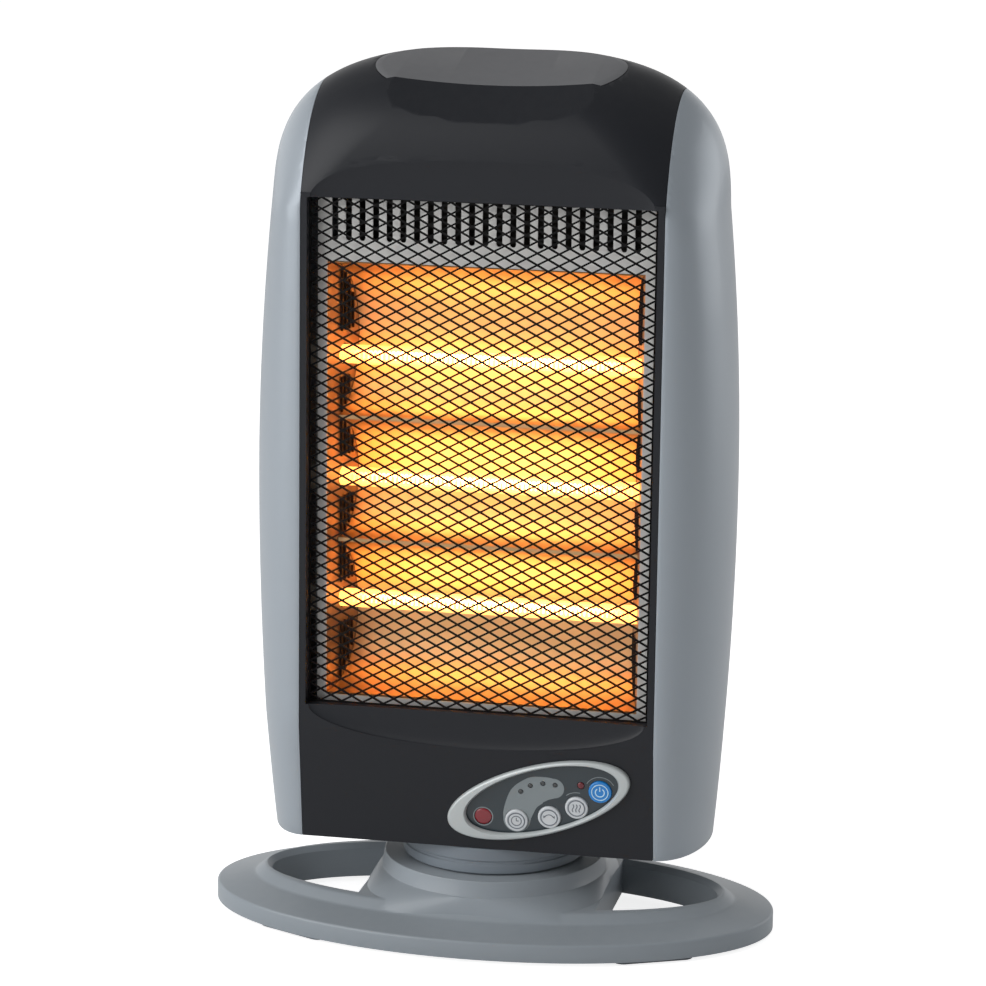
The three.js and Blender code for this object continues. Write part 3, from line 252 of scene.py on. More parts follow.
def prism(name, outline, low, high):
    outline = np.asarray(outline, float)
    return loft(name, [at_height(outline, low), at_height(outline, high)])


def block(name, low, high):
    (x0, y0, z0), (x1, y1, z1) = low, high
    return prism(name, [(x0, y0), (x1, y0), (x1, y1), (x0, y1)], z0, z1)


def placed(piece, move):
    """Moves or turns a piece's mesh and hands the piece back."""
    piece.data.transform(move)
    return piece


def moved(piece, x=0.0, y=0.0, z=0.0):
    return placed(piece, Matrix.Translation((x, y, z)))


def along_y(name, radius, ends, z, points=48):
    """A round bar that runs from front to back at a height."""
    bar = prism(name, circle(radius, points), *ends)
    return placed(bar, Matrix.Translation((0, 0, z)) @ UPRIGHT_TO_DEEP)


def bake_modifiers(piece):
    """Turns a piece's modifiers into plain mesh."""
    depsgraph = bpy.context.evaluated_depsgraph_get()
    mesh = bpy.data.meshes.new_from_object(piece.evaluated_get(depsgraph))
    piece.modifiers.clear()
    piece.data = mesh


def carve(piece, *tools, operation="DIFFERENCE"):
    """Cuts each tool from the piece, or joins or keeps what they share, and deletes the tools."""
    for tool in tools:
        step = piece.modifiers.new("carve", "BOOLEAN")
        step.operation = operation
        step.solver = "MANIFOLD"
        step.object = tool
        bake_modifiers(piece)
        bpy.data.objects.remove(tool)
    return piece


def round_edges(piece, width, angle=40, segments=2):
    """Takes the sharpness off the edges, as a mould does."""
    bm = bmesh.new()
    bm.from_mesh(piece.data)
    bmesh.ops.remove_doubles(bm, verts=bm.verts, dist=WELD)
    bmesh.ops.dissolve_degenerate(bm, edges=bm.edges, dist=WELD)
    bm.to_mesh(piece.data)
    bm.free()
    step = piece.modifiers.new("rounding", "BEVEL")
    step.width = width
    step.segments = segments
    step.limit_method = "ANGLE"
    step.angle_limit = math.radians(angle)
    bake_modifiers(piece)


def smooth(piece, angle=32, weighted=False):
    """Smooth shading that breaks at sharper edges, led by the larger faces if weighted."""
    piece.data.shade_smooth()
    piece.data.set_sharp_from_angle(angle=math.radians(angle))
    if weighted:
        step = piece.modifiers.new("weighted", "WEIGHTED_NORMAL")
        step.keep_sharp = True
        bake_modifiers(piece)


def new_tree(name, kind, inputs, outputs):
    """An empty tree with named sockets, each given by its usual value or else by its kind."""
    tree = bpy.data.node_groups.new(name, kind)
    kinds = {float: "Float", int: "Int", tuple: "Color"}
    for direction, sockets in (("INPUT", inputs), ("OUTPUT", outputs)):
        for label, usual in sockets.items():
            has_value = not isinstance(usual, str)
            socket_kind = "NodeSocket" + (kinds[type(usual)] if has_value else usual)
            socket = tree.interface.new_socket(name=label, in_out=direction, socket_type=socket_kind)
            if has_value:
                socket.default_value = usual
    return tree, add_node(tree, "NodeGroupInput")


def noise(tree, place, scale, detail=2):
    return add_node(tree, "ShaderNodeTexNoise", {"Vector": place, "Scale": scale, "Detail": detail})["Fac"]


def varied(tree, mask, amount, middle):
    """A value that a mask moves up and down about its middle."""
    return calculate(tree, "MULTIPLY_ADD", calculate(tree, "SUBTRACT", mask, 0.5), amount, middle)


def shaded(tree, colour, value):
    """A colour made lighter and darker by a value about 1."""
    return add_node(tree, "ShaderNodeHueSaturation", {"Color": colour, "Value": value})["Color"]


def mixed(tree, share, first, second):
    inputs = {"Factor": share, "A": first, "B": second}
    return add_node(tree, "ShaderNodeMix", inputs, data_type="RGBA")["Result"]


def raised(tree, height, depth):
    """The normals of a surface raised by a height."""
    return add_node(tree, "ShaderNodeBump", {"Distance": depth, "Height": height})["Normal"]


def build_plastic_skin():
    """Shared effect: slight clouding of the colour, uneven gloss, and the fine grain of a mould."""
    tree, given = new_tree(
        "plastic_skin", "ShaderNodeTree",
        {"Colour": (0.5, 0.5, 0.5, 1), "Clouding": 0.06, "Roughness": 0.4, "Unevenness": 0.08,
         "Grain Scale": 900.0},
        {"Colour": "Color", "Roughness": "Float", "Height": "Float"})
    place = add_node(tree, "ShaderNodeTexCoord")["Object"]
    cloud = noise(tree, place, scale=14, detail=5)
    smudge = noise(tree, place, scale=42, detail=6)
    add_node(tree, "NodeGroupOutput", {
        "Colour": shaded(tree, given["Colour"], varied(tree, cloud, given["Clouding"], 1.0)),
        "Roughness": varied(tree, smudge, given["Unevenness"], given["Roughness"]),
        "Height": noise(tree, place, given["Grain Scale"])})
    return tree


def build_dust():
    """Shared effect: a mask of fine dust that settles where a surface faces up."""
    tree, given = new_tree("settled_dust", "ShaderNodeTree", {"Amount": 0.2}, {"Mask": "Float"})
    place = add_node(tree, "ShaderNodeTexCoord")
    specks = noise(tree, place["Object"], scale=160, detail=8)
    facing = add_node(tree, "ShaderNodeSeparateXYZ", {0: place["Normal"]})
    up = add_node(tree, "ShaderNodeMapRange", {"Value": facing["Z"], "From Min": DUST_START})
    speckled = calculate(tree, "MULTIPLY", up["Result"], specks)
    mask = calculate(tree, "MULTIPLY", speckled, given["Amount"], clamp=True)
    add_node(tree, "NodeGroupOutput", {"Mask": mask})
    return tree


plastic_skin = build_plastic_skin()
settled_dust = build_dust()


def moulded_plastic(name, colour, roughness, clouding=0.06, unevenness=0.08, grain=900.0, depth=0.00002,
                    coat=0.0, dust=0.12, metallic=0.0, specular=0.5):
    """A moulded plastic: clouded colour, uneven gloss, mould grain and a little settled dust."""
    material, tree, shader = new_material(name)
    skin = add_node(tree, "ShaderNodeGroup", {
        "Colour": colour, "Clouding": clouding, "Roughness": roughness, "Unevenness": unevenness,
        "Grain Scale": grain}, node_tree=plastic_skin)
    settled = add_node(tree, "ShaderNodeGroup", {"Amount": dust}, node_tree=settled_dust)
    wire(tree, shader, {
        "Base Color": mixed(tree, settled["Mask"], skin["Colour"], DUST_COLOUR),
        "Roughness": skin["Roughness"], "Normal": raised(tree, skin["Height"], depth),
        "Metallic": metallic, "Specular IOR Level": specular,
        "Coat Weight": coat, "Coat Roughness": COAT_ROUGHNESS})
    return material


def dress(piece, material, body, slot, *nodes):
    """Gives a piece its material and its body, and hides the nodes that it stands for; its slot is not used.
    """
    piece.data.materials.clear()
    piece.data.materials.append(material)
    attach(piece, body)
    if nodes:
        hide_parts(*nodes)


def rounded_corner(x0, z0, radius, start, end, steps=5):
    """Points of a round corner of a profile, between two angles in degrees."""
    turn = np.radians(np.linspace(start, end, steps))
    return [(x0 + radius * math.cos(a), z0 + radius * math.sin(a)) for a in turn]


def foot_form(name, inset):
    """The foot's skin: an oval ring profile joined to the hub, drawn in by inset for the hollow."""
    bottom = -PLASTIC_WALL if inset else FOOT_UNDERSIDE
    profile = [(inset, bottom), *rounded_corner(
        RIM_ROUNDING + inset, RIM_TOP - RIM_ROUNDING - inset, RIM_ROUNDING, 180, 90)]
    profile += [(BAND_WIDTH + inset + along, BAND_TOP - inset + up) for along, up in BAND_BEND]
    crest_edge = BAND_WIDTH + CREST_WIDTH + inset
    profile += [(crest_edge + along, CREST_TOP - inset + up) for along, up in CREST_BEND]
    ring = loft(name, [at_height(super_oval(FOOT_HALF_WIDTH - back, FOOT_HALF_DEPTH - back), z)
                       for back, z in profile])
    foot_of_hub = (HUB_HALF_WIDTH + HUB_FLARE - inset, HUB_HALF_DEPTH - inset)
    boss = BOSS_RADIUS - inset
    levels = [(*foot_of_hub, HUB_SQUARENESS, bottom), (*foot_of_hub, HUB_SQUARENESS, BAND_TOP - inset)]
    for step in HUB_RISE:
        sides = [half + (boss + BOSS_LEDGE - half) * step ** HUB_EASE for half in foot_of_hub]
        squareness = HUB_SQUARENESS + (2 - HUB_SQUARENESS) * step ** ROUND_EASE
        levels.append((*sides, squareness, BAND_TOP - inset + (HUB_STEP - BAND_TOP) * step))
    levels.append((boss, boss, 2, HUB_STEP - inset + BOSS_CREASE))
    shoulder = (boss - BOSS_TAPER - BOSS_ROUNDING, HUB_TOP - inset - BOSS_ROUNDING)
    levels += [(radius, radius, 2, z) for radius, z in rounded_corner(*shoulder, BOSS_ROUNDING, 0, 90)]
    hub = loft(name + "_hub", [at_height(super_oval(a, b, n), z, SWIVEL_Y) for a, b, n, z in levels])
    return carve(ring, hub, operation="UNION")


def foot_openings(name, extra):
    """The two openings beside the hub, as cutters."""
    both = prism(name, super_oval(OPENING_HALF_LENGTH + extra, OPENING_HALF_DEPTH + extra), -FAR, FAR)
    lip = loft("lip", [
        at_height(super_oval(OPENING_HALF_LENGTH + extra + spread, OPENING_HALF_DEPTH + extra + spread),
                  CREST_TOP - OPENING_LIP + spread) for spread in (0.0, 2 * OPENING_LIP)])
    carve(both, lip, operation="UNION")
    hub = HUB_HALF_WIDTH - extra
    return carve(both, block("hub_keep", (-hub, -FAR, -2 * FAR), (hub, FAR, 2 * FAR)))


foot_skin = foot_form("foot_moulding", 0.0)
foot_hollow = carve(foot_form("foot_hollow", PLASTIC_WALL), foot_openings("walls", PLASTIC_WALL))
carve(foot_skin, foot_hollow, foot_openings("openings", 0.0),
      moved(prism("pivot_hole", circle(PIVOT_HOLE), PIVOT_HOLE_BOTTOM, FAR), y=SWIVEL_Y),
      along_y("gland_hole", GLAND_HOLE, GLAND_CUT, GLAND_HEIGHT),
      along_y("gland_seat", GLAND_SEAT, (SWIVEL_Y + HUB_HALF_DEPTH, GLAND_CUT[1]), GLAND_HEIGHT))
round_edges(foot_skin, FOOT_EDGE, angle=50)
smooth(foot_skin, 30)
foot_grey = moulded_plastic("foot_grey_plastic", FOOT_COLOUR, 0.42, coat=0.1)
dress(foot_skin, foot_grey, "foot", "foot_plastic", "base_shell")

# ==== Foot pads
# Four soft pads of grey rubber with curved ends and rounded edges, pressed into the underside of
# the rim.
PAD_LENGTH = 0.044
PAD_WIDTH = 0.011
PAD_HEIGHT = 0.0022
PAD_ROUNDING = 0.0005
PAD_COLOUR = (0.19, 0.21, 0.23, 1)


def stadium(length, width, points=14):
    """A bar with round ends, anticlockwise."""
    radius, run = width / 2, length / 2 - width / 2
    right = np.linspace(-math.pi / 2, math.pi / 2, points)
    left = right + math.pi
    return np.concatenate([
        np.stack([run + radius * np.cos(right), radius * np.sin(right)], 1),
        np.stack([-run + radius * np.cos(left), radius * np.sin(left)], 1)])


grey_rubber = moulded_plastic("pad_grey_rubber", PAD_COLOUR, 0.75, grain=2400.0, depth=0.00006)
for node in ("foot_pad_front_left", "foot_pad_front_right", "foot_pad_back_left", "foot_pad_back_right"):
    low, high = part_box(node)
    centre = (low + high) / 2
    corners = [v.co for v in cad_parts[node].data.vertices]
    longest = max(corners, key=lambda co: (co.xy - centre.xy).length)
    turn = math.atan2(longest.y - centre.y, longest.x - centre.x)
    pad = loft(node + "_rubber", [
        at_height(stadium(PAD_LENGTH - 2 * back, PAD_WIDTH - 2 * back), z)
        for back, z in [(0.0, 0.0), (0.0, PAD_HEIGHT - PAD_ROUNDING), (PAD_ROUNDING, PAD_HEIGHT)]])
    placed(pad, Matrix.Translation((centre.x, centre.y, 0)) @ Matrix.Rotation(turn, 4, "Z"))
    smooth(pad)
    dress(pad, grey_rubber, "foot", "rubber", node)

# ==== Steel in the foot, the neck and the head
# The bottom plate, the swivel plate, the hollow pivot with its nut and washer, and in the head the
# tube strips, the motor and the tip switch's bob: zinc-plated steel, faintly mottled. The heat
# shield is the same steel, painted near-black as painted shade for the dark inside behind the vent slots.
ZINC_COLOUR = (0.50, 0.51, 0.52, 1)
# The heat shield's colour is painted shade: near-black so the inside behind the vent slots looks dark.
SHADE_DARK_SHIELD_COLOUR = (0.060, 0.055, 0.050, 1)
ZINC_NODES = ("base_plate", "swivel_plate", "pivot_tube", "pivot_nut", "thrust_washer", "tube_bracket_left",
              "tube_bracket_right", "swing_motor", "tip_pendulum")
MILL_STRETCH = (0.02, 1, 1)


def build_rolled_metal():
    """Shared effect: fine lines along X from the rolling mill, with larger soft patches."""
    tree, given = new_tree(
        "rolled_metal", "ShaderNodeTree",
        {"Colour": (0.5, 0.5, 0.5, 1), "Patchiness": 0.1, "Roughness": 0.3, "Unevenness": 0.1},
        {"Colour": "Color", "Roughness": "Float", "Height": "Float"})
    place = add_node(tree, "ShaderNodeTexCoord")["Object"]
    stretched = add_node(tree, "ShaderNodeMapping", {"Vector": place, "Scale": MILL_STRETCH})["Vector"]
    patches = noise(tree, place, scale=60, detail=5)
    add_node(tree, "NodeGroupOutput", {
        "Colour": shaded(tree, given["Colour"], varied(tree, patches, given["Patchiness"], 1)),
        "Roughness": varied(tree, patches, given["Unevenness"], given["Roughness"]),
        "Height": noise(tree, stretched, scale=1400)})
    return tree


rolled_metal = build_rolled_metal()


def sheet_metal(name, colour, roughness, patchiness=0.12, unevenness=0.1, depth=0.00001, metallic=1.0):
    """Bare or plated sheet, with the mill's lines and soft patches in its gloss."""
    material, tree, shader = new_material(name)
    rolled = add_node(tree, "ShaderNodeGroup", {
        "Colour": colour, "Patchiness": patchiness, "Roughness": roughness, "Unevenness": unevenness},
        node_tree=rolled_metal)
    wire(tree, shader, {"Base Color": rolled["Colour"], "Roughness": rolled["Roughness"],
                        "Normal": raised(tree, rolled["Height"], depth), "Metallic": metallic})
    return material


def finish_nodes(material, *nodes):
    """Keeps CAD nodes as they are and gives them a better material."""
    for node in nodes:
        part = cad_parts[node]
        part.data.materials.clear()
        part.data.materials.append(material)


zinc = sheet_metal("zinc_plate", ZINC_COLOUR, 0.38)
finish_nodes(zinc, *ZINC_NODES)
# Painted shade: the heat shield gets a near-black copy of the steel, for the dark inside the head.
finish_nodes(sheet_metal("shield_painted_shade", SHADE_DARK_SHIELD_COLOUR, 0.6, patchiness=0.4), "heat_shield")

# ==== Cord gland and terminal block
# A ribbed rubber bush in the back of the foot, and behind it the white block where the cord ends.
# The bush is pushed in from outside up to its flange.
GLAND_BORE = 0.0033
GLAND_BODY = 0.0045
GLAND_FLANGE = 0.006
GLAND_TAIL = 0.0038
GLAND_FRONT = 0.058
GLAND_SEAT_Y = 0.0683
GLAND_END = 0.078
GLAND_BORE_START = 0.05
FLANGE_ROUNDING = 0.0004
FLANGE_CHAMFER = 0.0003
FLANGE_DEPTH = 0.002
RIB_COUNT = 8
RIB_DEPTH = 0.0005
TAIL_TAPER = 0.0002
TAIL_NOSE = 0.0006
TERMINAL_COLOUR = (0.78, 0.76, 0.70, 1)
GLAND_COLOUR = (0.018, 0.018, 0.019, 1)

flange_back = GLAND_SEAT_Y + FLANGE_DEPTH
rib_places = np.linspace(flange_back + FLANGE_ROUNDING, GLAND_END - TAIL_NOSE, RIB_COUNT)
tail_ribs = [(GLAND_BODY - RIB_DEPTH * (i % 2) - TAIL_TAPER * i / (RIB_COUNT - 1), y)
             for i, y in enumerate(rib_places)]
gland = turned("ribbed_cord_gland", [
    (GLAND_BODY, GLAND_FRONT), (GLAND_BODY, GLAND_SEAT_Y), (GLAND_FLANGE - FLANGE_CHAMFER, GLAND_SEAT_Y),
    (GLAND_FLANGE, GLAND_SEAT_Y + FLANGE_ROUNDING), (GLAND_FLANGE, flange_back - FLANGE_ROUNDING),
    (GLAND_FLANGE - FLANGE_ROUNDING, flange_back), *tail_ribs, (GLAND_TAIL, GLAND_END)], 40)
placed(gland, Matrix.Translation((0, 0, GLAND_HEIGHT)) @ UPRIGHT_TO_DEEP)
carve(gland, along_y("gland_bore", GLAND_BORE, (GLAND_BORE_START, GLAND_CUT[1]), GLAND_HEIGHT, 32))
smooth(gland, 40)
black_rubber = moulded_plastic("gland_black_rubber", GLAND_COLOUR, 0.85, grain=2400.0, depth=0.00006)
dress(gland, black_rubber, "foot", "rubber", "cord_gland")
finish_nodes(moulded_plastic("terminal_white_plastic", TERMINAL_COLOUR, 0.55), "terminal_block")

# ==== Neck collar
# A grey moulded ring fixed under the head. It turns just above the hub, so a dark line shows
# between the two, and a shallow groove runs round its middle.
# The collar's grey is the foot's plastic painted darker: painted shade from the head above it.
SHADED_COLLAR_COLOUR = (0.190, 0.222, 0.256, 1)
COLLAR_RADIUS = 0.050
COLLAR_BOTTOM = 0.0373
COLLAR_TOP = 0.0517
COLLAR_FOOT = 0.0006
COLLAR_ROUNDING = 0.0004
COLLAR_GROOVE = ((0.0050, 0), (0.0056, 0.0008), (0.0068, 0.0008), (0.0074, 0))  # height and depth
COLLAR_POINTS = 128

collar = turned("neck_collar_ring", [
    (COLLAR_RADIUS - COLLAR_FOOT, COLLAR_BOTTOM), (COLLAR_RADIUS, COLLAR_BOTTOM + COLLAR_FOOT),
    *((COLLAR_RADIUS - depth, COLLAR_BOTTOM + up) for up, depth in COLLAR_GROOVE),
    (COLLAR_RADIUS, COLLAR_TOP - COLLAR_ROUNDING), (COLLAR_RADIUS - COLLAR_ROUNDING, COLLAR_TOP)],
    COLLAR_POINTS, SWIVEL_Y)
collar_bore = prism("collar_bore", circle(COLLAR_RADIUS - PLASTIC_WALL, COLLAR_POINTS), 0, FAR)
carve(collar, moved(collar_bore, y=SWIVEL_Y))
smooth(collar, 30)
# A darker copy of the foot's grey plastic, as painted shade under the head.
shaded_collar = moulded_plastic("collar_shaded_plastic", SHADED_COLLAR_COLOUR, 0.42, coat=0.1)
dress(collar, shaded_collar, "head", "foot_plastic", "neck_collar")

# ==== Side panels
# Two deep mouldings in silver-grey paint that wrap the head's sides from front to back. Their
# barrel shape narrows above and below the middle and rounds over into the crown.
HEAD_BOTTOM = 0.052
HEAD_TOP = 0.4745
SHOULDER_Z = 0.395
CHIN_Z = 0.115
CHIN_SETBACK = 0.008
FACE_Y = -0.058
FACE_LEAN = 0.005
BACK_Y = 0.050
CROWN_Y = 0.012
BELLY_HALF_WIDTH = 0.1295
BELLY_Z = 0.245
BELLY_SPAN = 0.140
BELLY_DROP_ABOVE = 0.007
BELLY_DROP_BELOW = 0.005
CROWN_ROUNDNESS = 2.9
CROWN_FRONT_ROUNDNESS = 2.4
CROWN_BACK_ROUNDNESS = 3
CROWN_FLAT_ROUNDNESS = 3.5
CROWN_FLAT_NARROWING = 0.75
CROWN_END = 0.97  # the crown stops just short of its pole
SEAM_X = 0.096
SIDE_POINTS = 40
PANEL_EDGE = 0.0005
PANEL_COLOUR = (0.350, 0.392, 0.435, 1)
HEAD_MOVE = Matrix.Translation((0, SWIVEL_Y, 0))


def copy_of(piece, name):
    twin = piece.copy()
    twin.data = piece.data.copy()
    twin.name = name
    scene.collection.objects.link(twin)
    return twin


def falloff(share, roundness):
    """Height of a superellipse's quarter, from 1 at its centre to 0 at its end."""
    return (1 - share ** roundness) ** (1 / roundness)


def head_slice(z, inset):
    """One level of the head: flat front and back between the seams, half ellipses at the sides."""
    low = min(z, SHOULDER_Z)
    rise = max(0.0, z - SHOULDER_Z) / (HEAD_TOP - inset - SHOULDER_Z)
    drop = BELLY_DROP_ABOVE if low > BELLY_Z else BELLY_DROP_BELOW
    barrel = BELLY_HALF_WIDTH - drop * ((low - BELLY_Z) / BELLY_SPAN) ** 2
    half = (barrel - inset) * falloff(rise, CROWN_ROUNDNESS)
    flat = SEAM_X * (1 - CROWN_FLAT_NARROWING * rise) * falloff(rise, CROWN_FLAT_ROUNDNESS)
    lean = FACE_LEAN * (low - CHIN_Z)
    if low < CHIN_Z:
        lean = CHIN_SETBACK * (CHIN_Z - low) / (CHIN_Z - HEAD_BOTTOM)
    front = CROWN_Y - (CROWN_Y - FACE_Y - lean - inset) * falloff(rise, CROWN_FRONT_ROUNDNESS)
    back = CROWN_Y + (BACK_Y - inset - CROWN_Y) * falloff(rise, CROWN_BACK_ROUNDNESS)
    middle, reach = (front + back) / 2, (back - front) / 2
    turn = np.linspace(0, math.pi, SIDE_POINTS + 1)
    across = np.linspace(-1, 1, 10)[1:-1]
    right = np.stack([flat + (half - flat) * np.sin(turn), middle - reach * np.cos(turn)], 1)
    rear = np.stack([-flat * across, np.full(len(across), back)], 1)
    face = np.stack([flat * across, np.full(len(across), front)], 1)
    return at_height(np.concatenate([right, rear, right[::-1] * (-1, 1), face]), z)


def head_form(name, inset):
    """The whole head as one closed solid."""
    bottom = HEAD_BOTTOM - PLASTIC_WALL if inset else HEAD_BOTTOM
    chin = np.linspace(bottom, CHIN_Z, 9)[:-1]
    barrel = np.linspace(CHIN_Z, SHOULDER_Z, 29)
    climb = np.sin(np.linspace(0, CROWN_END, 33)[1:] * math.pi / 2)
    crown = SHOULDER_Z + (HEAD_TOP - inset - SHOULDER_Z) * climb
    return loft(name, [head_slice(z, inset) for z in (*chin, *barrel, *crown)])


head_outer = head_form("head_outer", 0.0)
head_inner = head_form("head_inner", PLASTIC_WALL)
head_shell = carve(copy_of(head_outer, "head_shell"), copy_of(head_inner, "inner"))
panel_paint = moulded_plastic("panel_silver_paint", PANEL_COLOUR, 0.38, clouding=0.04, grain=1500.0,
                              depth=0.000012, coat=0.12, dust=0.04, metallic=0.2)
for side, sign in (("left", -1), ("right", 1)):
    panel = copy_of(head_shell, f"side_panel_{side}_paint")
    near, far = sorted((sign * (SEAM_X + FIT_GAP / 2), sign * FAR))
    carve(panel, block("side_keep", (near, -FAR, -FAR), (far, FAR, FAR)), operation="INTERSECT")
    round_edges(panel, PANEL_EDGE, angle=55)
    smooth(panel, 30)
    placed(panel, HEAD_MOVE)
    dress(panel, panel_paint, "head", "panel_plastic", f"side_panel_{side}")

# ==== Crown cap
# A matte grey lid let into a flat facet of the crown. The facet is slightly hollow from side to
# side and climbs to the back, and a glossy crescent lies in front of it.
FACET_Y = -0.027
FACET_Z = 0.459
FACET_SLOPE = math.radians(13.5)
FACET_DISH = 0.420
FACET_POINTS = 97
CHAMFER_SLOPE = math.radians(39)
CAP_THICKNESS = 0.0015
CAP_EDGE = 0.0004
REAR_SPLIT_Y = 0.036
CAP_COLOUR = (0.142, 0.145, 0.154, 1)


def beyond_dish(offset, scale=1.0):
    """The facet's arc from side to side, closed far behind it: outline of a cutter."""
    x = np.linspace(-BELLY_HALF_WIDTH, BELLY_HALF_WIDTH, FACET_POINTS)
    arc = np.stack([x, offset + scale * (FACET_DISH - np.sqrt(FACET_DISH ** 2 - x ** 2))], 1)
    return np.concatenate([arc, [(BELLY_HALF_WIDTH, FAR), (-BELLY_HALF_WIDTH, FAR)]])


def above_slope(name, slope, drop=0.0):
    """Everything above a shallow trough through the facet's front edge that climbs to the back."""
    tool = prism(name, beyond_dish(-drop), -FAR / 2, FAR / 2)
    tilt = Matrix.Rotation(math.pi / 2 + slope, 4, "X")
    return placed(tool, Matrix.Translation((0, FACET_Y, FACET_Z)) @ tilt)


def middle_keep(front=-FAR, back=FAR):
    """The space between the two seams."""
    edge = SEAM_X - FIT_GAP / 2
    return block("middle_keep", (-edge, front, -FAR), (edge, back, FAR))


def behind_edge(gap):
    """All behind the arc along which the facet and the crescent meet."""
    run = (math.cos(FACET_SLOPE) - math.cos(CHAMFER_SLOPE)) / math.sin(CHAMFER_SLOPE - FACET_SLOPE)
    return prism("behind_edge", beyond_dish(FACET_Y + gap, -run), 0, FAR)


def cap_seat():
    """The hollow that the cap lies in, a little larger than the cap."""
    seat = above_slope("cap_seat", FACET_SLOPE, CAP_THICKNESS + FIT_GAP)
    return carve(seat, behind_edge(-FIT_GAP / 2), operation="INTERSECT")


cap = copy_of(head_outer, "crown_cap")
carve(cap, above_slope("facet", FACET_SLOPE), above_slope("chamfer", CHAMFER_SLOPE))
carve(cap, above_slope("cap_keep", FACET_SLOPE, CAP_THICKNESS), behind_edge(FIT_GAP / 2),
      middle_keep(back=REAR_SPLIT_Y - FIT_GAP / 2), operation="INTERSECT")
round_edges(cap, CAP_EDGE, angle=55)
smooth(cap, 30)
placed(cap, HEAD_MOVE)
cap_grey = moulded_plastic("cap_matte_plastic", CAP_COLOUR, 0.55, grain=1800.0, depth=0.00003, dust=0.05)
dress(cap, cap_grey, "head", "cap_plastic", "top_cap")

# ==== Front fascia
# The glossy near-black moulding between the panels. It runs from the chin over the crown, is
# hollowed into a crescent above and below its window, and its window has a plain return.
WINDOW_HALF_WIDTH = 0.0925
WINDOW_BOTTOM = 0.128
WINDOW_TOP = 0.401
SCOOP_HALF_WIDTH = 0.091
SCOOP_DEPTH = 0.004
SCOOP_WALL = 0.0018
SCOOP_POLE = 0.05  # radians left off at the ball's poles
UPPER_SCOOP = 0.027
LOWER_SCOOP = 0.019
FASCIA_COLOUR = (0.0110, 0.0126, 0.0170, 1)
CONTROL_X = 0.0344
CONTROL_Z = 0.0827
CONTROL_TURN = math.radians(18)
CONTROL_CUT = 0.0075
OVERLAY_SHIFT = 0.002
OVERLAY_HALF_LENGTH = 0.0448
OVERLAY_HALF_HEIGHT = 0.0188

chin_tilt = math.atan(CHIN_SETBACK / (CHIN_Z - HEAD_BOTTOM))
control_y = FACE_Y + (CHIN_Z - CONTROL_Z) * math.tan(chin_tilt)
# In the control frame X runs right, Y up the face and Z out of it.
control_frame = (Matrix.Translation((CONTROL_X, control_y, CONTROL_Z))
                 @ Matrix.Rotation(math.pi / 2 + chin_tilt, 4, "X"))


def scoop(name, z, half_height, extra):
    """A flat-bottomed crescent hollow, as a squashed ball."""
    rings = []
    for tilt in np.linspace(-math.pi / 2 + SCOOP_POLE, math.pi / 2 - SCOOP_POLE, 25):
        halves = ((SCOOP_HALF_WIDTH + extra) * math.cos(tilt), (SCOOP_DEPTH + extra) * math.cos(tilt))
        face = FACE_Y + FACE_LEAN * (z - CHIN_Z)
        rings.append(at_height(super_oval(*halves, 2, 96), z + (half_height + extra) * math.sin(tilt), face))
    return carve(loft(name, rings), middle_keep(), operation="INTERSECT")


def both_scoops(name, extra):
    return (scoop(f"upper_{name}", WINDOW_TOP, UPPER_SCOOP, extra),
            scoop(f"lower_{name}", WINDOW_BOTTOM, LOWER_SCOOP, extra))


def tilted_oval(half_length, half_height, shift=0.0):
    """The control panel's oval in its own frame, turned to climb to the right."""
    outline = super_oval(half_length, half_height)
    outline[:, 0] += shift
    cos, sin = math.cos(CONTROL_TURN), math.sin(CONTROL_TURN)
    return outline @ np.array([[cos, sin], [-sin, cos]])


def film_oval(extra=0.0):
    """The film's outline, with its middle a little right of the rim's."""
    return tilted_oval(OVERLAY_HALF_LENGTH + extra, OVERLAY_HALF_HEIGHT + extra, OVERLAY_SHIFT)


return_front = FACE_Y + FACE_LEAN * (WINDOW_TOP - CHIN_Z)
return_back = return_front + SCOOP_DEPTH + SCOOP_WALL
edge = SEAM_X - FIT_GAP / 2
hollow = copy_of(head_inner, "fascia_hollow")
carve(hollow, above_slope("crescent_wall", CHAMFER_SLOPE, PLASTIC_WALL))
fascia = copy_of(head_outer, "front_fascia_gloss")
carve(fascia, hollow, cap_seat(), above_slope("chamfer", CHAMFER_SLOPE))
carve(fascia, middle_keep(back=REAR_SPLIT_Y - FIT_GAP / 2), operation="INTERSECT")
backing = carve(*both_scoops("backing", SCOOP_WALL), operation="UNION")
front_keep = block("front_keep", (-FAR, -FAR, -FAR), (FAR, return_back, FAR))
carve(backing, copy_of(head_outer, "outer"), front_keep, operation="INTERSECT")
window_return = block("window_return", (-edge, return_front, WINDOW_BOTTOM - PLASTIC_WALL),
                      (edge, return_back, WINDOW_TOP + PLASTIC_WALL))
carve(fascia, backing, window_return, operation="UNION")
control_hole = placed(prism("control_hole", film_oval(FIT_GAP), -CONTROL_CUT, CONTROL_CUT), control_frame)
carve(fascia, block("window", (-WINDOW_HALF_WIDTH, -FAR, WINDOW_BOTTOM), (WINDOW_HALF_WIDTH, 0, WINDOW_TOP)),
      *both_scoops("scoop", 0), control_hole)
smooth(fascia, 24, weighted=True)
placed(fascia, HEAD_MOVE)
fascia_gloss = moulded_plastic("fascia_black_gloss", FASCIA_COLOUR, 0.42, clouding=0.1, unevenness=0.05,
                               grain=300.0, depth=0.000004, dust=0.02, specular=0.33)
dress(fascia, fascia_gloss, "head", "black_plastic", "front_fascia")

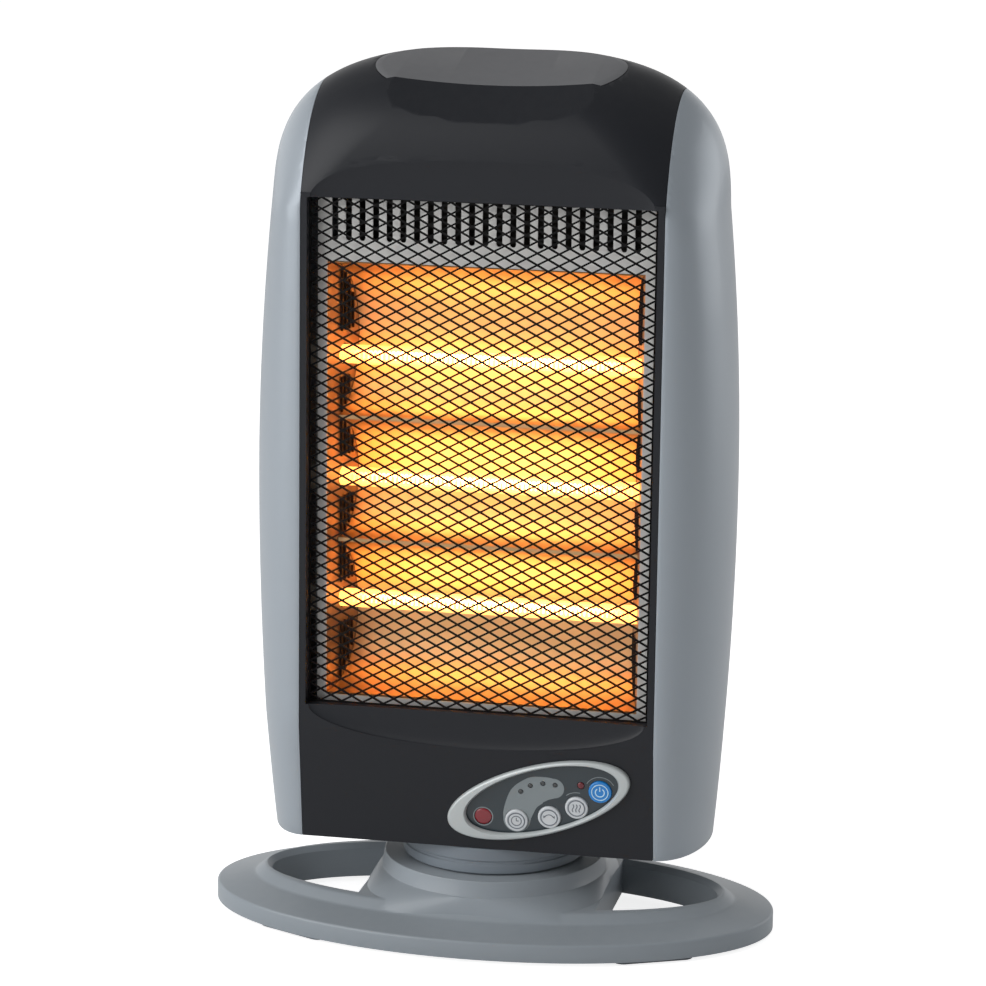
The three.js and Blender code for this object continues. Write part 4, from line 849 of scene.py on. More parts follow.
# ==== Rear cover
# A fine-grained black moulding that closes the back, with three columns of round-ended air slots
# and a screw near each corner.
VENT_COLUMNS = 3
VENT_ROWS = 11
VENT_COLUMN_PITCH = 0.050
VENT_ROW_PITCH = 0.020
VENT_FIRST_Z = 0.172
VENT_LENGTH = 0.038
VENT_HEIGHT = 0.004
REAR_EDGE = 0.0004
REAR_COLOUR = (0.020, 0.021, 0.023, 1)
SCREW_PLACES = ((-0.080, 0.075), (0.080, 0.075), (-0.072, 0.385), (0.072, 0.385))
SCREW_RADIUS = 0.0032
SCREW_PROFILE = ((1.0, 0.0), (1.0, 0.0007), (0.86, 0.0013), (0.5, 0.0017))  # share of the radius, height
SCREW_SINK = 0.0008
DRIVE_HALF_LENGTH = 0.0019
DRIVE_HALF_WIDTH = 0.00035
DRIVE_HEIGHTS = (0.0006, 0.003)
DRIVE_TURN = 0.4  # radians from one screw to the next


def end_tree(tree, geometry, material):
    """Realizes a tree's instances, gives the result its material and puts it out."""
    real = add_node(tree, "GeometryNodeRealizeInstances", {0: geometry})[0]
    painted = add_node(tree, "GeometryNodeSetMaterial", {"Geometry": real, "Material": material})[0]
    add_node(tree, "NodeGroupOutput", {0: painted})
    return tree


def build_punch():
    """Geometry Nodes: cuts a grid of like openings through a piece."""
    tree, given = new_tree(
        "punched_openings", "GeometryNodeTree",
        {"Geometry": "Geometry", "Punch": "Object", "First Place": "Vector", "Columns": 3, "Rows": 3,
         "Column Pitch": 0.01, "Row Pitch": 0.01, "Material": "Material"}, {"Geometry": "Geometry"})
    step_across = add_node(tree, "ShaderNodeCombineXYZ", {"X": given["Column Pitch"]})[0]
    step_up = add_node(tree, "ShaderNodeCombineXYZ", {"Z": given["Row Pitch"]})[0]
    across = add_node(tree, "GeometryNodeMeshLine", {
        "Count": given["Columns"], "Start Location": given["First Place"], "Offset": step_across})[0]
    up = add_node(tree, "GeometryNodeMeshLine", {"Count": given["Rows"], "Offset": step_up})[0]
    columns = add_node(tree, "GeometryNodeInstanceOnPoints", {"Points": across, "Instance": up})[0]
    places = add_node(tree, "GeometryNodeRealizeInstances", {0: columns})[0]
    tool = add_node(tree, "GeometryNodeObjectInfo", {"Object": given["Punch"]})["Geometry"]
    openings = add_node(tree, "GeometryNodeInstanceOnPoints", {"Points": places, "Instance": tool})[0]
    cut = add_node(tree, "GeometryNodeMeshBoolean", {"Mesh 1": given["Geometry"], "Mesh 2": openings},
                   operation="DIFFERENCE", solver="MANIFOLD")["Mesh"]
    return end_tree(tree, cut, given["Material"])


def run_tree(piece, tree, values):
    """Runs a Geometry Nodes tree on a piece with named inputs and keeps the plain mesh."""
    step = piece.modifiers.new(tree.name, "NODES")
    step.node_group = tree
    sockets = {item.name: item.identifier for item in tree.interface.items_tree if item.in_out == "INPUT"}
    for name, value in values.items():
        step[sockets[name]] = value
    piece.update_tag()
    bake_modifiers(piece)


punched_openings = build_punch()
rear_black = moulded_plastic("rear_grained_plastic", REAR_COLOUR, 0.5, grain=1100.0, depth=0.00005, dust=0.1)
rear = carve(copy_of(head_shell, "rear_cover_grained"), cap_seat())
carve(rear, middle_keep(front=REAR_SPLIT_Y + FIT_GAP / 2), operation="INTERSECT")
vent_punch = prism("vent_punch", stadium(VENT_LENGTH, VENT_HEIGHT, 8), -2 * PLASTIC_WALL, PLASTIC_WALL)
placed(vent_punch, Matrix.Rotation(math.pi / 2, 4, "X") @ Matrix.Rotation(math.pi, 4, "X"))
run_tree(rear, punched_openings, {
    "Punch": vent_punch,
    "First Place": (-VENT_COLUMN_PITCH * (VENT_COLUMNS - 1) / 2, BACK_Y, VENT_FIRST_Z),
    "Columns": VENT_COLUMNS, "Rows": VENT_ROWS,
    "Column Pitch": VENT_COLUMN_PITCH, "Row Pitch": VENT_ROW_PITCH, "Material": rear_black})
bpy.data.objects.remove(vent_punch)
round_edges(rear, REAR_EDGE, angle=50)
smooth(rear, 28)
placed(rear, HEAD_MOVE)
dress(rear, rear_black, "head", "rear_plastic", "rear_cover")
finish_nodes(rear_black, "head_floor", "tip_switch_frame")

for index, (x, z) in enumerate(SCREW_PLACES):
    head = turned(f"rear_screw_{index + 1}", [(SCREW_RADIUS * share, up) for share, up in SCREW_PROFILE], 32)
    for turn in (0, math.pi / 2):
        slot = block("drive_slot", (-DRIVE_HALF_LENGTH, -DRIVE_HALF_WIDTH, DRIVE_HEIGHTS[0]),
                     (DRIVE_HALF_LENGTH, DRIVE_HALF_WIDTH, DRIVE_HEIGHTS[1]))
        carve(head, placed(slot, Matrix.Rotation(turn + DRIVE_TURN * index, 4, "Z")))
    seat = Matrix.Translation((x, BACK_Y + SWIVEL_Y - SCREW_SINK, z))
    placed(head, seat @ Matrix.Rotation(-math.pi / 2, 4, "X"))
    smooth(head, 30)
    dress(head, zinc, "head", "steel")

# ==== Bright front plate
# A strip of bright rolled aluminium round the mouth of the reflector, with a row of upright slots
# above it that let the heat out.
PANEL_Y = -0.044
PANEL_HALF_WIDTH = 0.0895
PANEL_BOTTOM = 0.124
PANEL_TOP = 0.408
MOUTH_HALF_WIDTH = 0.0845
MOUTH_BOTTOM = 0.1305
MOUTH_TOP = 0.366
SHEET_THICKNESS = 0.001
VENT_COUNT = 23
VENT_PITCH = 0.0073
VENT_WIDTH = 0.0033
VENT_BOTTOM = 0.377
VENT_TOP = 0.404
VENT_CUT = 0.003
BRIGHT_COLOUR = (0.93, 0.92, 0.90, 1)

bright_sheet = sheet_metal("bright_rolled_aluminium", BRIGHT_COLOUR, 0.5, patchiness=0.05, metallic=0.25)
plate = block("front_plate_bright", (-PANEL_HALF_WIDTH, PANEL_Y, PANEL_BOTTOM),
              (PANEL_HALF_WIDTH, PANEL_Y + SHEET_THICKNESS, PANEL_TOP))
carve(plate, block("mouth", (-MOUTH_HALF_WIDTH, -FAR, MOUTH_BOTTOM), (MOUTH_HALF_WIDTH, FAR, MOUTH_TOP)))
slot_punch = prism("slot_punch", stadium(VENT_TOP - VENT_BOTTOM, VENT_WIDTH, 6), -VENT_CUT, VENT_CUT)
placed(slot_punch, Matrix.Rotation(math.pi / 2, 4, "X") @ Matrix.Rotation(math.pi / 2, 4, "Z"))
run_tree(plate, punched_openings, {
    "Punch": slot_punch,
    "First Place": (-VENT_PITCH * (VENT_COUNT - 1) / 2, PANEL_Y, (VENT_TOP + VENT_BOTTOM) / 2),
    "Columns": VENT_COUNT, "Rows": 1,
    "Column Pitch": VENT_PITCH, "Row Pitch": 0.0, "Material": bright_sheet})
bpy.data.objects.remove(slot_punch)
smooth(plate, 30)
placed(plate, HEAD_MOVE)
dress(plate, bright_sheet, "head", "bright_aluminium", "front_plate")

# ==== Reflector
# One sheet of aluminium, bent into three troughs, one behind each tube, whose orange tint is painted
# reflection of the tubes' glow. It is closed by a browned end plate at each side that leans in towards
# the back and has louvres.
RIDGES = (0.213, 0.280)
RIDGE_SETBACK = 0.012
TROUGH_DEPTH = 0.035
END_FLARE = 0.0085
MOUTH_Y = PANEL_Y + SHEET_THICKNESS + FIT_GAP
TROUGH_POINTS = 40
# The reflector's orange colour is painted glow: it stands for the tubes' orange light in its reflections.
REFLECTOR_GLOW_TINT = (0.82, 0.58, 0.31, 1)
END_COLOUR = (0.36, 0.25, 0.19, 1)
LOUVRE_COLOUR = (0.050, 0.030, 0.022, 1)
LOUVRE_SPANS = ((0.125, 0.167), (0.189, 0.236), (0.258, 0.301), (0.326, 0.361))
LOUVRE_DEPTHS = (0.40, 0.52, 0.64, 0.76)  # share of the way to the back
LOUVRE_WIDTH = 0.0013
LOUVRE_LIFT = 0.001
LOUVRE_SHORTEST = 0.006
UPRIGHT_TO_WIDE = Matrix(((0, 0, 1, 0), (1, 0, 0, 0), (0, 1, 0, 0), (0, 0, 0, 1)))


def trough_line(back, margin):
    """The sheet's line from bottom to top: three half ellipses that meet at the ridges."""
    edges = (MOUTH_BOTTOM, *RIDGES, MOUTH_TOP)
    points = []
    for trough in range(3):
        low, high = edges[trough], edges[trough + 1]
        start = MOUTH_Y if trough == 0 else MOUTH_Y + RIDGE_SETBACK
        end = MOUTH_Y if trough == 2 else MOUTH_Y + RIDGE_SETBACK
        half = (high - low) / 2 - margin
        for share in np.linspace(0, 1, TROUGH_POINTS + 1):
            rim = start * (1 - share) + end * share
            depth = MOUTH_Y + TROUGH_DEPTH - rim
            points.append((rim + depth * math.sin(math.pi * share) + back,
                           (low + high) / 2 - half * math.cos(math.pi * share)))
    return np.array(points)


sheet_line = np.concatenate([trough_line(0, SHEET_THICKNESS),
                             trough_line(SHEET_THICKNESS, -SHEET_THICKNESS / 2)[::-1]])
reflector = prism("reflector_troughs", sheet_line, -MOUTH_HALF_WIDTH, MOUTH_HALF_WIDTH)
placed(reflector, UPRIGHT_TO_WIDE)
wedge_depth = TROUGH_DEPTH + 2 * SHEET_THICKNESS
wedge_front = MOUTH_HALF_WIDTH - FIT_GAP
wedge_back = wedge_front - END_FLARE * wedge_depth / TROUGH_DEPTH
wedge = prism("wedge", [(-wedge_front, MOUTH_Y), (wedge_front, MOUTH_Y), (wedge_back, MOUTH_Y + wedge_depth),
                        (-wedge_back, MOUTH_Y + wedge_depth)], 0.0, FAR)
carve(reflector, wedge, operation="INTERSECT")
smooth(reflector, 30)
placed(reflector, HEAD_MOVE)
# Painted reflection: the sheet's orange tint stands for the glow of the tubes it reflects.
glow_tinted_sheet = sheet_metal("glow_tinted_aluminium", REFLECTOR_GLOW_TINT, 0.42, patchiness=0.25, unevenness=0.2,
                           depth=0.00002)
browned_sheet = sheet_metal("browned_aluminium", END_COLOUR, 0.45, patchiness=0.5, unevenness=0.2)
louvre_steel = sheet_metal("scorched_steel", LOUVRE_COLOUR, 0.6, patchiness=0.5)
dress(reflector, glow_tinted_sheet, "head", "bright_aluminium", "reflector")
finish_nodes(browned_sheet, "end_plate_left", "end_plate_right")
inside_line = trough_line(0, SHEET_THICKNESS).reshape(3, TROUGH_POINTS + 1, 2)
for side, sign in (("left", -1), ("right", 1)):
    louvres = []
    for depth in LOUVRE_DEPTHS:
        y = MOUTH_Y + depth * TROUGH_DEPTH
        x = sign * (MOUTH_HALF_WIDTH - FIT_GAP - END_FLARE * depth)
        near, far = sorted((x, x - sign * LOUVRE_LIFT))
        for trough in inside_line:
            open_z = trough[trough[:, 0] > y + 2 * LOUVRE_WIDTH, 1]
            for low, high in LOUVRE_SPANS:
                low, high = max(low, open_z.min()), min(high, open_z.max())
                if high - low > LOUVRE_SHORTEST:
                    louvres.append(block("louvre", (near, y, low), (far, y + LOUVRE_WIDTH, high)))
    comb = carve(*louvres, operation="UNION")
    comb.name = f"end_louvres_{side}"
    placed(comb, HEAD_MOVE)
    dress(comb, louvre_steel, "head", "bright_aluminium")

# ==== Quartz tubes and their coils
# Three clear quartz tubes, each with a wound tungsten coil that glows yellow-white, darker at its
# ends. Pale ceramic ends seat the tubes in the strips behind the end plates.
TUBE_HEIGHTS = (0.1795, 0.2465, 0.313)
TUBE_Y = MOUTH_Y + 0.019
TUBE_RADIUS = 0.005
TUBE_WALL = 0.001
COIL_RADIUS = 0.0022
COIL_WIRE = 0.00045
COIL_TURNS = 62.0
COIL_STEPS = 14
COIL_MARGIN = 0.012
WIRE_SIDES = 6
WIRE_COLOUR = (0.35, 0.33, 0.3, 1)
GLOW_CORE = (1.0, 0.66, 0.36, 1)
GLOW_TIP = (0.55, 0.12, 0.015, 1)
GLOW_FADE = (0.030, 0.082)
GLOW_STRENGTH = 16.5
QUARTZ_TINTS = ((1.0, 0.78, 0.45, 1), (1.0, 0.93, 0.80, 1))
# Painted glow: the quartz itself glows orange, standing for the coil's light scattered in the tube.
QUARTZ_PAINTED_GLOWS = ((1.0, 0.36, 0.06, 1), (1.0, 0.50, 0.14, 1))
STREAK_STRETCH = (0.03, 1, 1)
CERAMIC_EDGE = 0.0012
CERAMIC_SEAT = 0.0063
CERAMIC_COLOUR = (0.62, 0.57, 0.49, 1)


def build_coil():
    """Geometry Nodes: a helix of round wire, wound along Z."""
    tree, given = new_tree(
        "wound_coil", "GeometryNodeTree",
        {"Geometry": "Geometry", "Turns": 10.0, "Steps": 12, "Radius": 0.002, "Length": 0.1, "Wire": 0.0004,
         "Material": "Material"}, {"Geometry": "Geometry"})
    helix = add_node(tree, "GeometryNodeCurveSpiral", {
        "Start Radius": given["Radius"], "End Radius": given["Radius"], "Resolution": given["Steps"],
        "Rotations": given["Turns"], "Height": given["Length"]})[0]
    section = add_node(tree, "GeometryNodeCurvePrimitiveCircle", {
        "Resolution": WIRE_SIDES, "Radius": given["Wire"]})[0]
    wound = add_node(tree, "GeometryNodeCurveToMesh", {
        "Curve": helix, "Profile Curve": section, "Fill Caps": True})[0]
    return end_tree(tree, wound, given["Material"])


def glowing_wire():
    """Hot tungsten, whose glow fades towards the ends of the tube."""
    material, tree, shader = new_material("glowing_tungsten")
    place = add_node(tree, "ShaderNodeSeparateXYZ", {0: add_node(tree, "ShaderNodeTexCoord")["Object"]})
    fade = eased(tree, calculate(tree, "ABSOLUTE", place["X"]), *GLOW_FADE)
    wire(tree, shader, {
        "Base Color": WIRE_COLOUR, "Metallic": 1, "Roughness": 0.5,
        "Emission Color": mixed(tree, fade, GLOW_CORE, GLOW_TIP), "Emission Strength": GLOW_STRENGTH})
    return material


def quartz_glass():
    """Clear quartz with a faint amber cast, a painted orange glow in the glass itself, and a few drawn
    streaks along the tube.
    """
    material, tree, shader = new_material("clear_quartz")
    place = add_node(tree, "ShaderNodeTexCoord")["Object"]
    stretched = add_node(tree, "ShaderNodeMapping", {"Vector": place, "Scale": STREAK_STRETCH})["Vector"]
    streaks = noise(tree, stretched, scale=900)
    wire(tree, shader, {
        "Base Color": mixed(tree, streaks, *QUARTZ_TINTS), "Roughness": 0.08, "Transmission Weight": 0.85,
        "Emission Color": mixed(tree, streaks, *QUARTZ_PAINTED_GLOWS), "Emission Strength": 1.0})
    return material


wound_coil = build_coil()
tungsten = glowing_wire()
quartz = quartz_glass()
ceramic = moulded_plastic("unglazed_ceramic", CERAMIC_COLOUR, 0.8, clouding=0.12, grain=1400.0,
                          depth=0.00008, dust=0.0)
lying = Matrix.Rotation(math.pi / 2, 4, "Y")
for number, z in enumerate(TUBE_HEIGHTS, 1):
    low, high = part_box(f"quartz_tube_{number}")
    tube = prism(f"quartz_tube_{number}_clear", circle(TUBE_RADIUS), low.x, high.x)
    carve(tube, prism("tube_bore", circle(TUBE_RADIUS - TUBE_WALL), -FAR, FAR))
    placed(tube, Matrix.Translation((0, TUBE_Y + SWIVEL_Y, z)) @ lying)
    smooth(tube, 40)
    dress(tube, quartz, "head", "quartz", f"quartz_tube_{number}")
    half_coil = high.x - COIL_MARGIN
    coil = add_piece(f"tungsten_coil_{number}", [(0, 0, 0)], [])
    run_tree(coil, wound_coil, {"Turns": COIL_TURNS, "Steps": COIL_STEPS, "Radius": COIL_RADIUS,
                                "Length": 2 * half_coil, "Wire": COIL_WIRE, "Material": tungsten})
    placed(coil, Matrix.Translation((-half_coil, TUBE_Y + SWIVEL_Y, z)) @ lying)
    smooth(coil, 60)
    dress(coil, tungsten, "head", "filament", f"filament_{number}")
    for side in ("left", "right"):
        node = f"ceramic_end_{side}_{number}"
        low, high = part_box(node)
        body = block(node + "_body", low, high)
        round_edges(body, CERAMIC_EDGE, segments=3)
        seat = prism("tube_seat", circle(TUBE_RADIUS + FIT_GAP, 40), -CERAMIC_SEAT, CERAMIC_SEAT)
        inner_face = high.x if side == "left" else low.x
        carve(body, placed(seat, Matrix.Translation((inner_face, TUBE_Y + SWIVEL_Y, z)) @ lying))
        smooth(body)
        dress(body, ceramic, "head", "ceramic", node)
finish_nodes(ceramic, "thermal_cutout")

# ==== Mesh grille
# Black enamelled expanded metal behind the fascia's window: one slit and stretched sheet, whose
# strands cross at welded knots and leave flat diamond openings.
GRILLE_COLUMNS = 16
GRILLE_ROWS = 44
STRAND_WIDTH = 0.00095
STRAND_DEPTH = 0.0009
STRAND_WELD = 0.00002
GRILLE_BORDER = 0.0022
GRILLE_COLOUR = (0.004, 0.004, 0.004, 1)

grille_low, grille_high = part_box("grille")
mesh_width = grille_high.x - grille_low.x - 2 * GRILLE_BORDER
mesh_height = grille_high.z - grille_low.z - 2 * GRILLE_BORDER
cell_width, cell_height = mesh_width / GRILLE_COLUMNS, mesh_height / GRILLE_ROWS


def strand_knot(name):
    """One knot with its four half strands, open at the strands' ends."""
    arm = np.array([cell_width / 4, cell_height / 4])
    angle = math.atan2(arm[1], arm[0])
    across = np.array([-math.sin(angle), math.cos(angle)]) * STRAND_WIDTH / 2
    crotch_x = STRAND_WIDTH / (2 * math.sin(angle))
    crotch_z = STRAND_WIDTH / (2 * math.cos(angle))
    outline = [(crotch_x, 0), arm - across, arm + across, (0, crotch_z)]
    mirrored = [(-x, z) for x, z in outline[::-1]]
    upper = outline + mirrored[1:]
    ring = upper + [(x, -z) for x, z in upper[::-1]][1:-1]
    count = len(ring)
    verts = [(x, -STRAND_DEPTH / 2, z) for x, z in ring] + [(x, STRAND_DEPTH / 2, z) for x, z in ring]
    corners = [0, 3, 6, 9]
    faces = []
    for corner in corners:
        quad = [corner, corner + 1, corner + 2, (corner + 3) % count]
        faces += [quad, [v + count for v in quad[::-1]]]
    faces += [corners, [v + count for v in corners[::-1]]]
    for i in range(count):
        j = (i + 1) % count
        if i % 3 != 1:
            faces.append([i, i + count, j + count, j])
    return add_piece(name, verts, faces)


def build_grille():
    """Geometry Nodes: two staggered grids of knots, welded into one net."""
    tree, given = new_tree(
        "expanded_mesh", "GeometryNodeTree",
        {"Geometry": "Geometry", "Knot": "Object", "Columns": 10, "Rows": 10, "Cell Width": 0.01,
         "Cell Height": 0.01, "Weld": STRAND_WELD, "Material": "Material"}, {"Geometry": "Geometry"})
    knot = add_node(tree, "GeometryNodeObjectInfo", {"Object": given["Knot"]})["Geometry"]
    both = tree.nodes.new("GeometryNodeJoinGeometry")
    for more_columns, more_rows in ((0, 1), (1, 0)):
        columns = calculate(tree, "ADD", given["Columns"], more_columns)
        rows = calculate(tree, "ADD", given["Rows"], more_rows)
        width = calculate(tree, "MULTIPLY", calculate(tree, "SUBTRACT", columns, 1), given["Cell Width"])
        height = calculate(tree, "MULTIPLY", calculate(tree, "SUBTRACT", rows, 1), given["Cell Height"])
        grid = add_node(tree, "GeometryNodeMeshGrid", {
            "Size X": width, "Size Y": height, "Vertices X": columns, "Vertices Y": rows})["Mesh"]
        upright = add_node(tree, "GeometryNodeTransform", {
            "Geometry": grid, "Rotation": (math.pi / 2, 0, 0)})[0]
        knots = add_node(tree, "GeometryNodeInstanceOnPoints", {"Points": upright, "Instance": knot})[0]
        wire(tree, both, {0: knots})
    real = add_node(tree, "GeometryNodeRealizeInstances", {0: both.outputs[0]})[0]
    welded = add_node(tree, "GeometryNodeMergeByDistance", {"Geometry": real, "Distance": given["Weld"]})[0]
    return end_tree(tree, welded, given["Material"])


enamel = moulded_plastic("black_stove_enamel", GRILLE_COLOUR, 0.6, clouding=0.2, grain=2000.0, depth=0.00001,
                         dust=0.0, specular=0.15)
knot = strand_knot("strand_knot")
grille = add_piece("expanded_metal_grille", [(0, 0, 0)], [])
run_tree(grille, build_grille(), {
    "Knot": knot, "Columns": GRILLE_COLUMNS, "Rows": GRILLE_ROWS, "Cell Width": cell_width,
    "Cell Height": cell_height, "Weld": STRAND_WELD, "Material": enamel})
bpy.data.objects.remove(knot)
moved(grille, y=(grille_low.y + grille_high.y) / 2, z=(grille_low.z + grille_high.z) / 2)
dress(grille, enamel, "head", "grille_paint", "grille")

grille_frame = block("grille_edge_strip", grille_low, grille_high)
carve(grille_frame, block("frame_inside", (grille_low.x + GRILLE_BORDER, -FAR, grille_low.z + GRILLE_BORDER),
                          (grille_high.x - GRILLE_BORDER, FAR, grille_high.z - GRILLE_BORDER)))
dress(grille_frame, enamel, "head", "grille_paint")

# ==== Control panel
# A silver oval rim round a dark film that climbs to the right. The film has a pale kidney-shaped
# field with four small lamps, thin arcs by two keys, and a dark red receiver window with a ring.
BEZEL_HALF_LENGTH = 0.0517
BEZEL_HALF_HEIGHT = 0.0198
BEZEL_HEIGHT = 0.0027
BEZEL_LIP = 0.0016
BEZEL_FLANK = 0.25  # share of the height that stands straight
BEZEL_BACK = 0.55  # share of the height that the section leans back by
BEZEL_INSIDE = (  # inset and height
    (0.0, -0.001), (0.0, FIT_GAP + BEZEL_HEIGHT * BEZEL_BACK), (-0.0012, 2 * FIT_GAP + BEZEL_HEIGHT))
OVERLAY_THICKNESS = 0.0015
SILVER_COLOUR = (0.56, 0.60, 0.605, 1)
FILM_COLOUR = (0.028, 0.041, 0.050, 1)
FIELD_COLOUR = (0.25, 0.285, 0.30, 1)
BUTTON_PLACES = {"timer": (-0.0120, -0.0129), "swing": (0.0058, -0.0097), "heat": (0.0206, -0.0031),
                 "power": (0.0333, 0.0070)}
BUTTON_RADIUS = 0.0062
LENS_PLACE = (-0.0303, -0.0121)
LENS_RADIUS = 0.0046
LED_PLACES = ((-0.0096, 0.0039), (-0.0044, 0.0077), (0.0024, 0.0094), (0.0090, 0.0090))
LED_RADIUS = 0.0011
POWER_LED_PLACE = (0.0229, 0.0098)
POWER_LED_RADIUS = 0.0018
PUNCH_REACH = 0.01
PRINT_LIFT = 0.00005
PRINT_DEPTH = 0.00022
FIELD_LINE = ((-0.0120, -0.0129), (-0.0116, -0.0088), (-0.0081, 0.0005), (-0.0016, 0.0053),
              (0.0039, 0.0067), (0.0086, 0.0070))
FIELD_RADII = (0.0073, 0.0078, 0.0084, 0.0081, 0.0067, 0.0057)
FIELD_STEPS = 60
FIELD_SOFTNESS = 9
PRINTED_ARCS = {  # name: centre, radius, width, from and to in degrees, points
    "power_arc_print": (BUTTON_PLACES["power"], 0.0083, 0.0004, 30, 150, 24),
    "heat_arc_print": (BUTTON_PLACES["heat"], 0.0086, 0.0004, 78, 130, 24),
    "lens_ring_print": (LENS_PLACE, 0.0052, 0.0006, 0, 359, 48),
}


def place_on_panel(piece):
    """Moves a piece made in the control frame to its place on the head."""
    return placed(piece, HEAD_MOVE @ control_frame)


def rim_levels():
    """The rim's rounded section, from the fascia out and back in to the film."""
    turn = np.linspace(0, math.pi / 2, 8)
    back = BEZEL_HEIGHT * BEZEL_BACK * (1 - np.cos(turn))
    up = FIT_GAP + BEZEL_HEIGHT * (BEZEL_FLANK + (1 - BEZEL_FLANK) * np.sin(turn))
    return [(0.0, FIT_GAP), *zip(back, up)]


def round_punch(radius, place, points=40):
    """A cutter for what goes through the film, larger by the fit's gap."""
    return moved(prism("round_punch", circle(radius + FIT_GAP, points), -PUNCH_REACH, PUNCH_REACH), *place)


def strip_along(line, half_width):
    """The two edges of a strip along a line, and the line's own direction and sideways direction."""
    along = np.gradient(line, axis=0)
    along /= np.linalg.norm(along, axis=1, keepdims=True)
    across = np.stack([-along[:, 1], along[:, 0]], 1)
    return line - across * half_width, line + across * half_width, along, across


def kidney():
    """The pale field: a comma that starts round the first key and arches over to the right."""
    share, fine = np.linspace(0, 1, len(FIELD_RADII)), np.linspace(0, 1, FIELD_STEPS)
    window = np.ones(FIELD_SOFTNESS) / FIELD_SOFTNESS
    line = np.stack([np.convolve(np.pad(np.interp(fine, share, places), FIELD_SOFTNESS // 2, mode="edge"),
                                 window, "valid") for places in zip(*FIELD_LINE)], 1)
    radius = np.interp(fine, share, FIELD_RADII)
    low_edge, high_edge, along, across = strip_along(line, radius[:, None])
    turn = np.linspace(-math.pi / 2, math.pi / 2, 16)[1:-1, None]
    far_end = line[-1] + radius[-1] * (along[-1] * np.cos(turn) + across[-1] * np.sin(turn))
    near_end = line[0] - radius[0] * (along[0] * np.cos(turn) + across[0] * np.sin(turn))
    return np.concatenate([low_edge, far_end, high_edge[::-1], near_end])


def arc_band(centre, radius, width, start, end, points=24):
    """A thin band along an arc, angles in degrees."""
    turn = np.radians(np.linspace(start, end, points))
    ray = np.stack([np.cos(turn), np.sin(turn)], 1)
    inner, outer = ray * (radius - width / 2), ray * (radius + width / 2)
    return np.concatenate([outer, inner[::-1]]) + centre


def film_print(name, outline, *punches):
    """A thin raised print on the film, inside the film's own height."""
    mark = carve(prism(name, outline, -FIT_GAP - PRINT_DEPTH, -FIT_GAP + PRINT_LIFT), *punches)
    dress(place_on_panel(mark), field_grey, "head", "overlay_film")


bezel = loft("control_rim_silver", [
    at_height(tilted_oval(BEZEL_HALF_LENGTH - back, BEZEL_HALF_HEIGHT - back), z)
    for back, z in rim_levels()])
carve(bezel, loft("rim_inside", [at_height(film_oval(-BEZEL_LIP - back), z) for back, z in BEZEL_INSIDE]))
smooth(bezel, 40)
place_on_panel(bezel)
silver = moulded_plastic("rim_silver_paint", SILVER_COLOUR, 0.42, clouding=0.05, grain=1600.0, metallic=0.3,
                         coat=0.1, dust=0.03)
dress(bezel, silver, "head", "silver_plastic", "control_bezel")

film = prism("control_film", film_oval(), -FIT_GAP - OVERLAY_THICKNESS, -FIT_GAP)
carve(film, *(round_punch(BUTTON_RADIUS, place) for place in BUTTON_PLACES.values()),
      round_punch(LENS_RADIUS, LENS_PLACE), *(round_punch(LED_RADIUS, place) for place in LED_PLACES),
      round_punch(POWER_LED_RADIUS, POWER_LED_PLACE))
smooth(film)
film_blue = moulded_plastic("film_blue_grey", FILM_COLOUR, 0.3, clouding=0.1, grain=1200.0,
                            coat=0.3, dust=0.02)
dress(place_on_panel(film), film_blue, "head", "overlay_film", "control_overlay")

field_grey = moulded_plastic("field_pale_print", FIELD_COLOUR, 0.4, clouding=0.1, grain=1500.0, dust=0.02)
film_print("lamp_field_print", kidney(), *(round_punch(LED_RADIUS, place, 24) for place in LED_PLACES),
           round_punch(BUTTON_RADIUS, BUTTON_PLACES["timer"]))
for name, arc in PRINTED_ARCS.items():
    film_print(name, arc_band(*arc))

# ==== Lamps and receiver window
# Small dark diodes in the pale field, a red lamp by the power key, and a domed red window for the
# remote control's receiver.
LENS_COLOUR = (0.25, 0.006, 0.016, 1)
POWER_LED_COLOUR = (0.16, 0.010, 0.018, 1)
LED_COLOUR = (0.060, 0.065, 0.068, 1)
DOME_OF_RADIUS = 0.3
DOME_OF_HEIGHT = 0.6
DOME_ROOM = 0.0006
DOME_TIP = 0.04  # share of the radius left flat
RED_RISE = 0.0003


def domed_disc(name, radius, base, top, steps=6):
    """A short round bar whose outer face is a shallow dome."""
    dome = min(DOME_OF_RADIUS * radius, DOME_OF_HEIGHT * (top + FIT_GAP + DOME_ROOM))
    turn = np.linspace(0, math.pi / 2, steps)
    levels = [(max(radius * math.cos(a), DOME_TIP * radius), top - dome + dome * math.sin(a)) for a in turn]
    return turned(name, [(radius, base), *levels], 40)


red_lens = moulded_plastic("receiver_red_window", LENS_COLOUR, 0.12, clouding=0.3, unevenness=0.05, coat=0.8,
                           dust=0.0)
red_led = moulded_plastic("red_diode", POWER_LED_COLOUR, 0.2, clouding=0.3, coat=0.5, dust=0.0)
dark_led = moulded_plastic("dark_diode", LED_COLOUR, 0.25, clouding=0.2, coat=0.3, dust=0.0)
panel_lamps = [(LENS_PLACE, LENS_RADIUS, "remote_lens", red_lens, "red_lens", RED_RISE),
               (POWER_LED_PLACE, POWER_LED_RADIUS, "power_led", red_led, "red_lens", RED_RISE)]
panel_lamps += [(place, LED_RADIUS, f"heat_led_{number}", dark_led, "led", 0.0)
                for number, place in enumerate(LED_PLACES, 1)]
for place, radius, node, material, slot, top in panel_lamps:
    window = moved(domed_disc(node + "_dome", radius, -FIT_GAP - OVERLAY_THICKNESS, top), *place)
    smooth(window, 50)
    dress(place_on_panel(window), material, "head", slot, node)

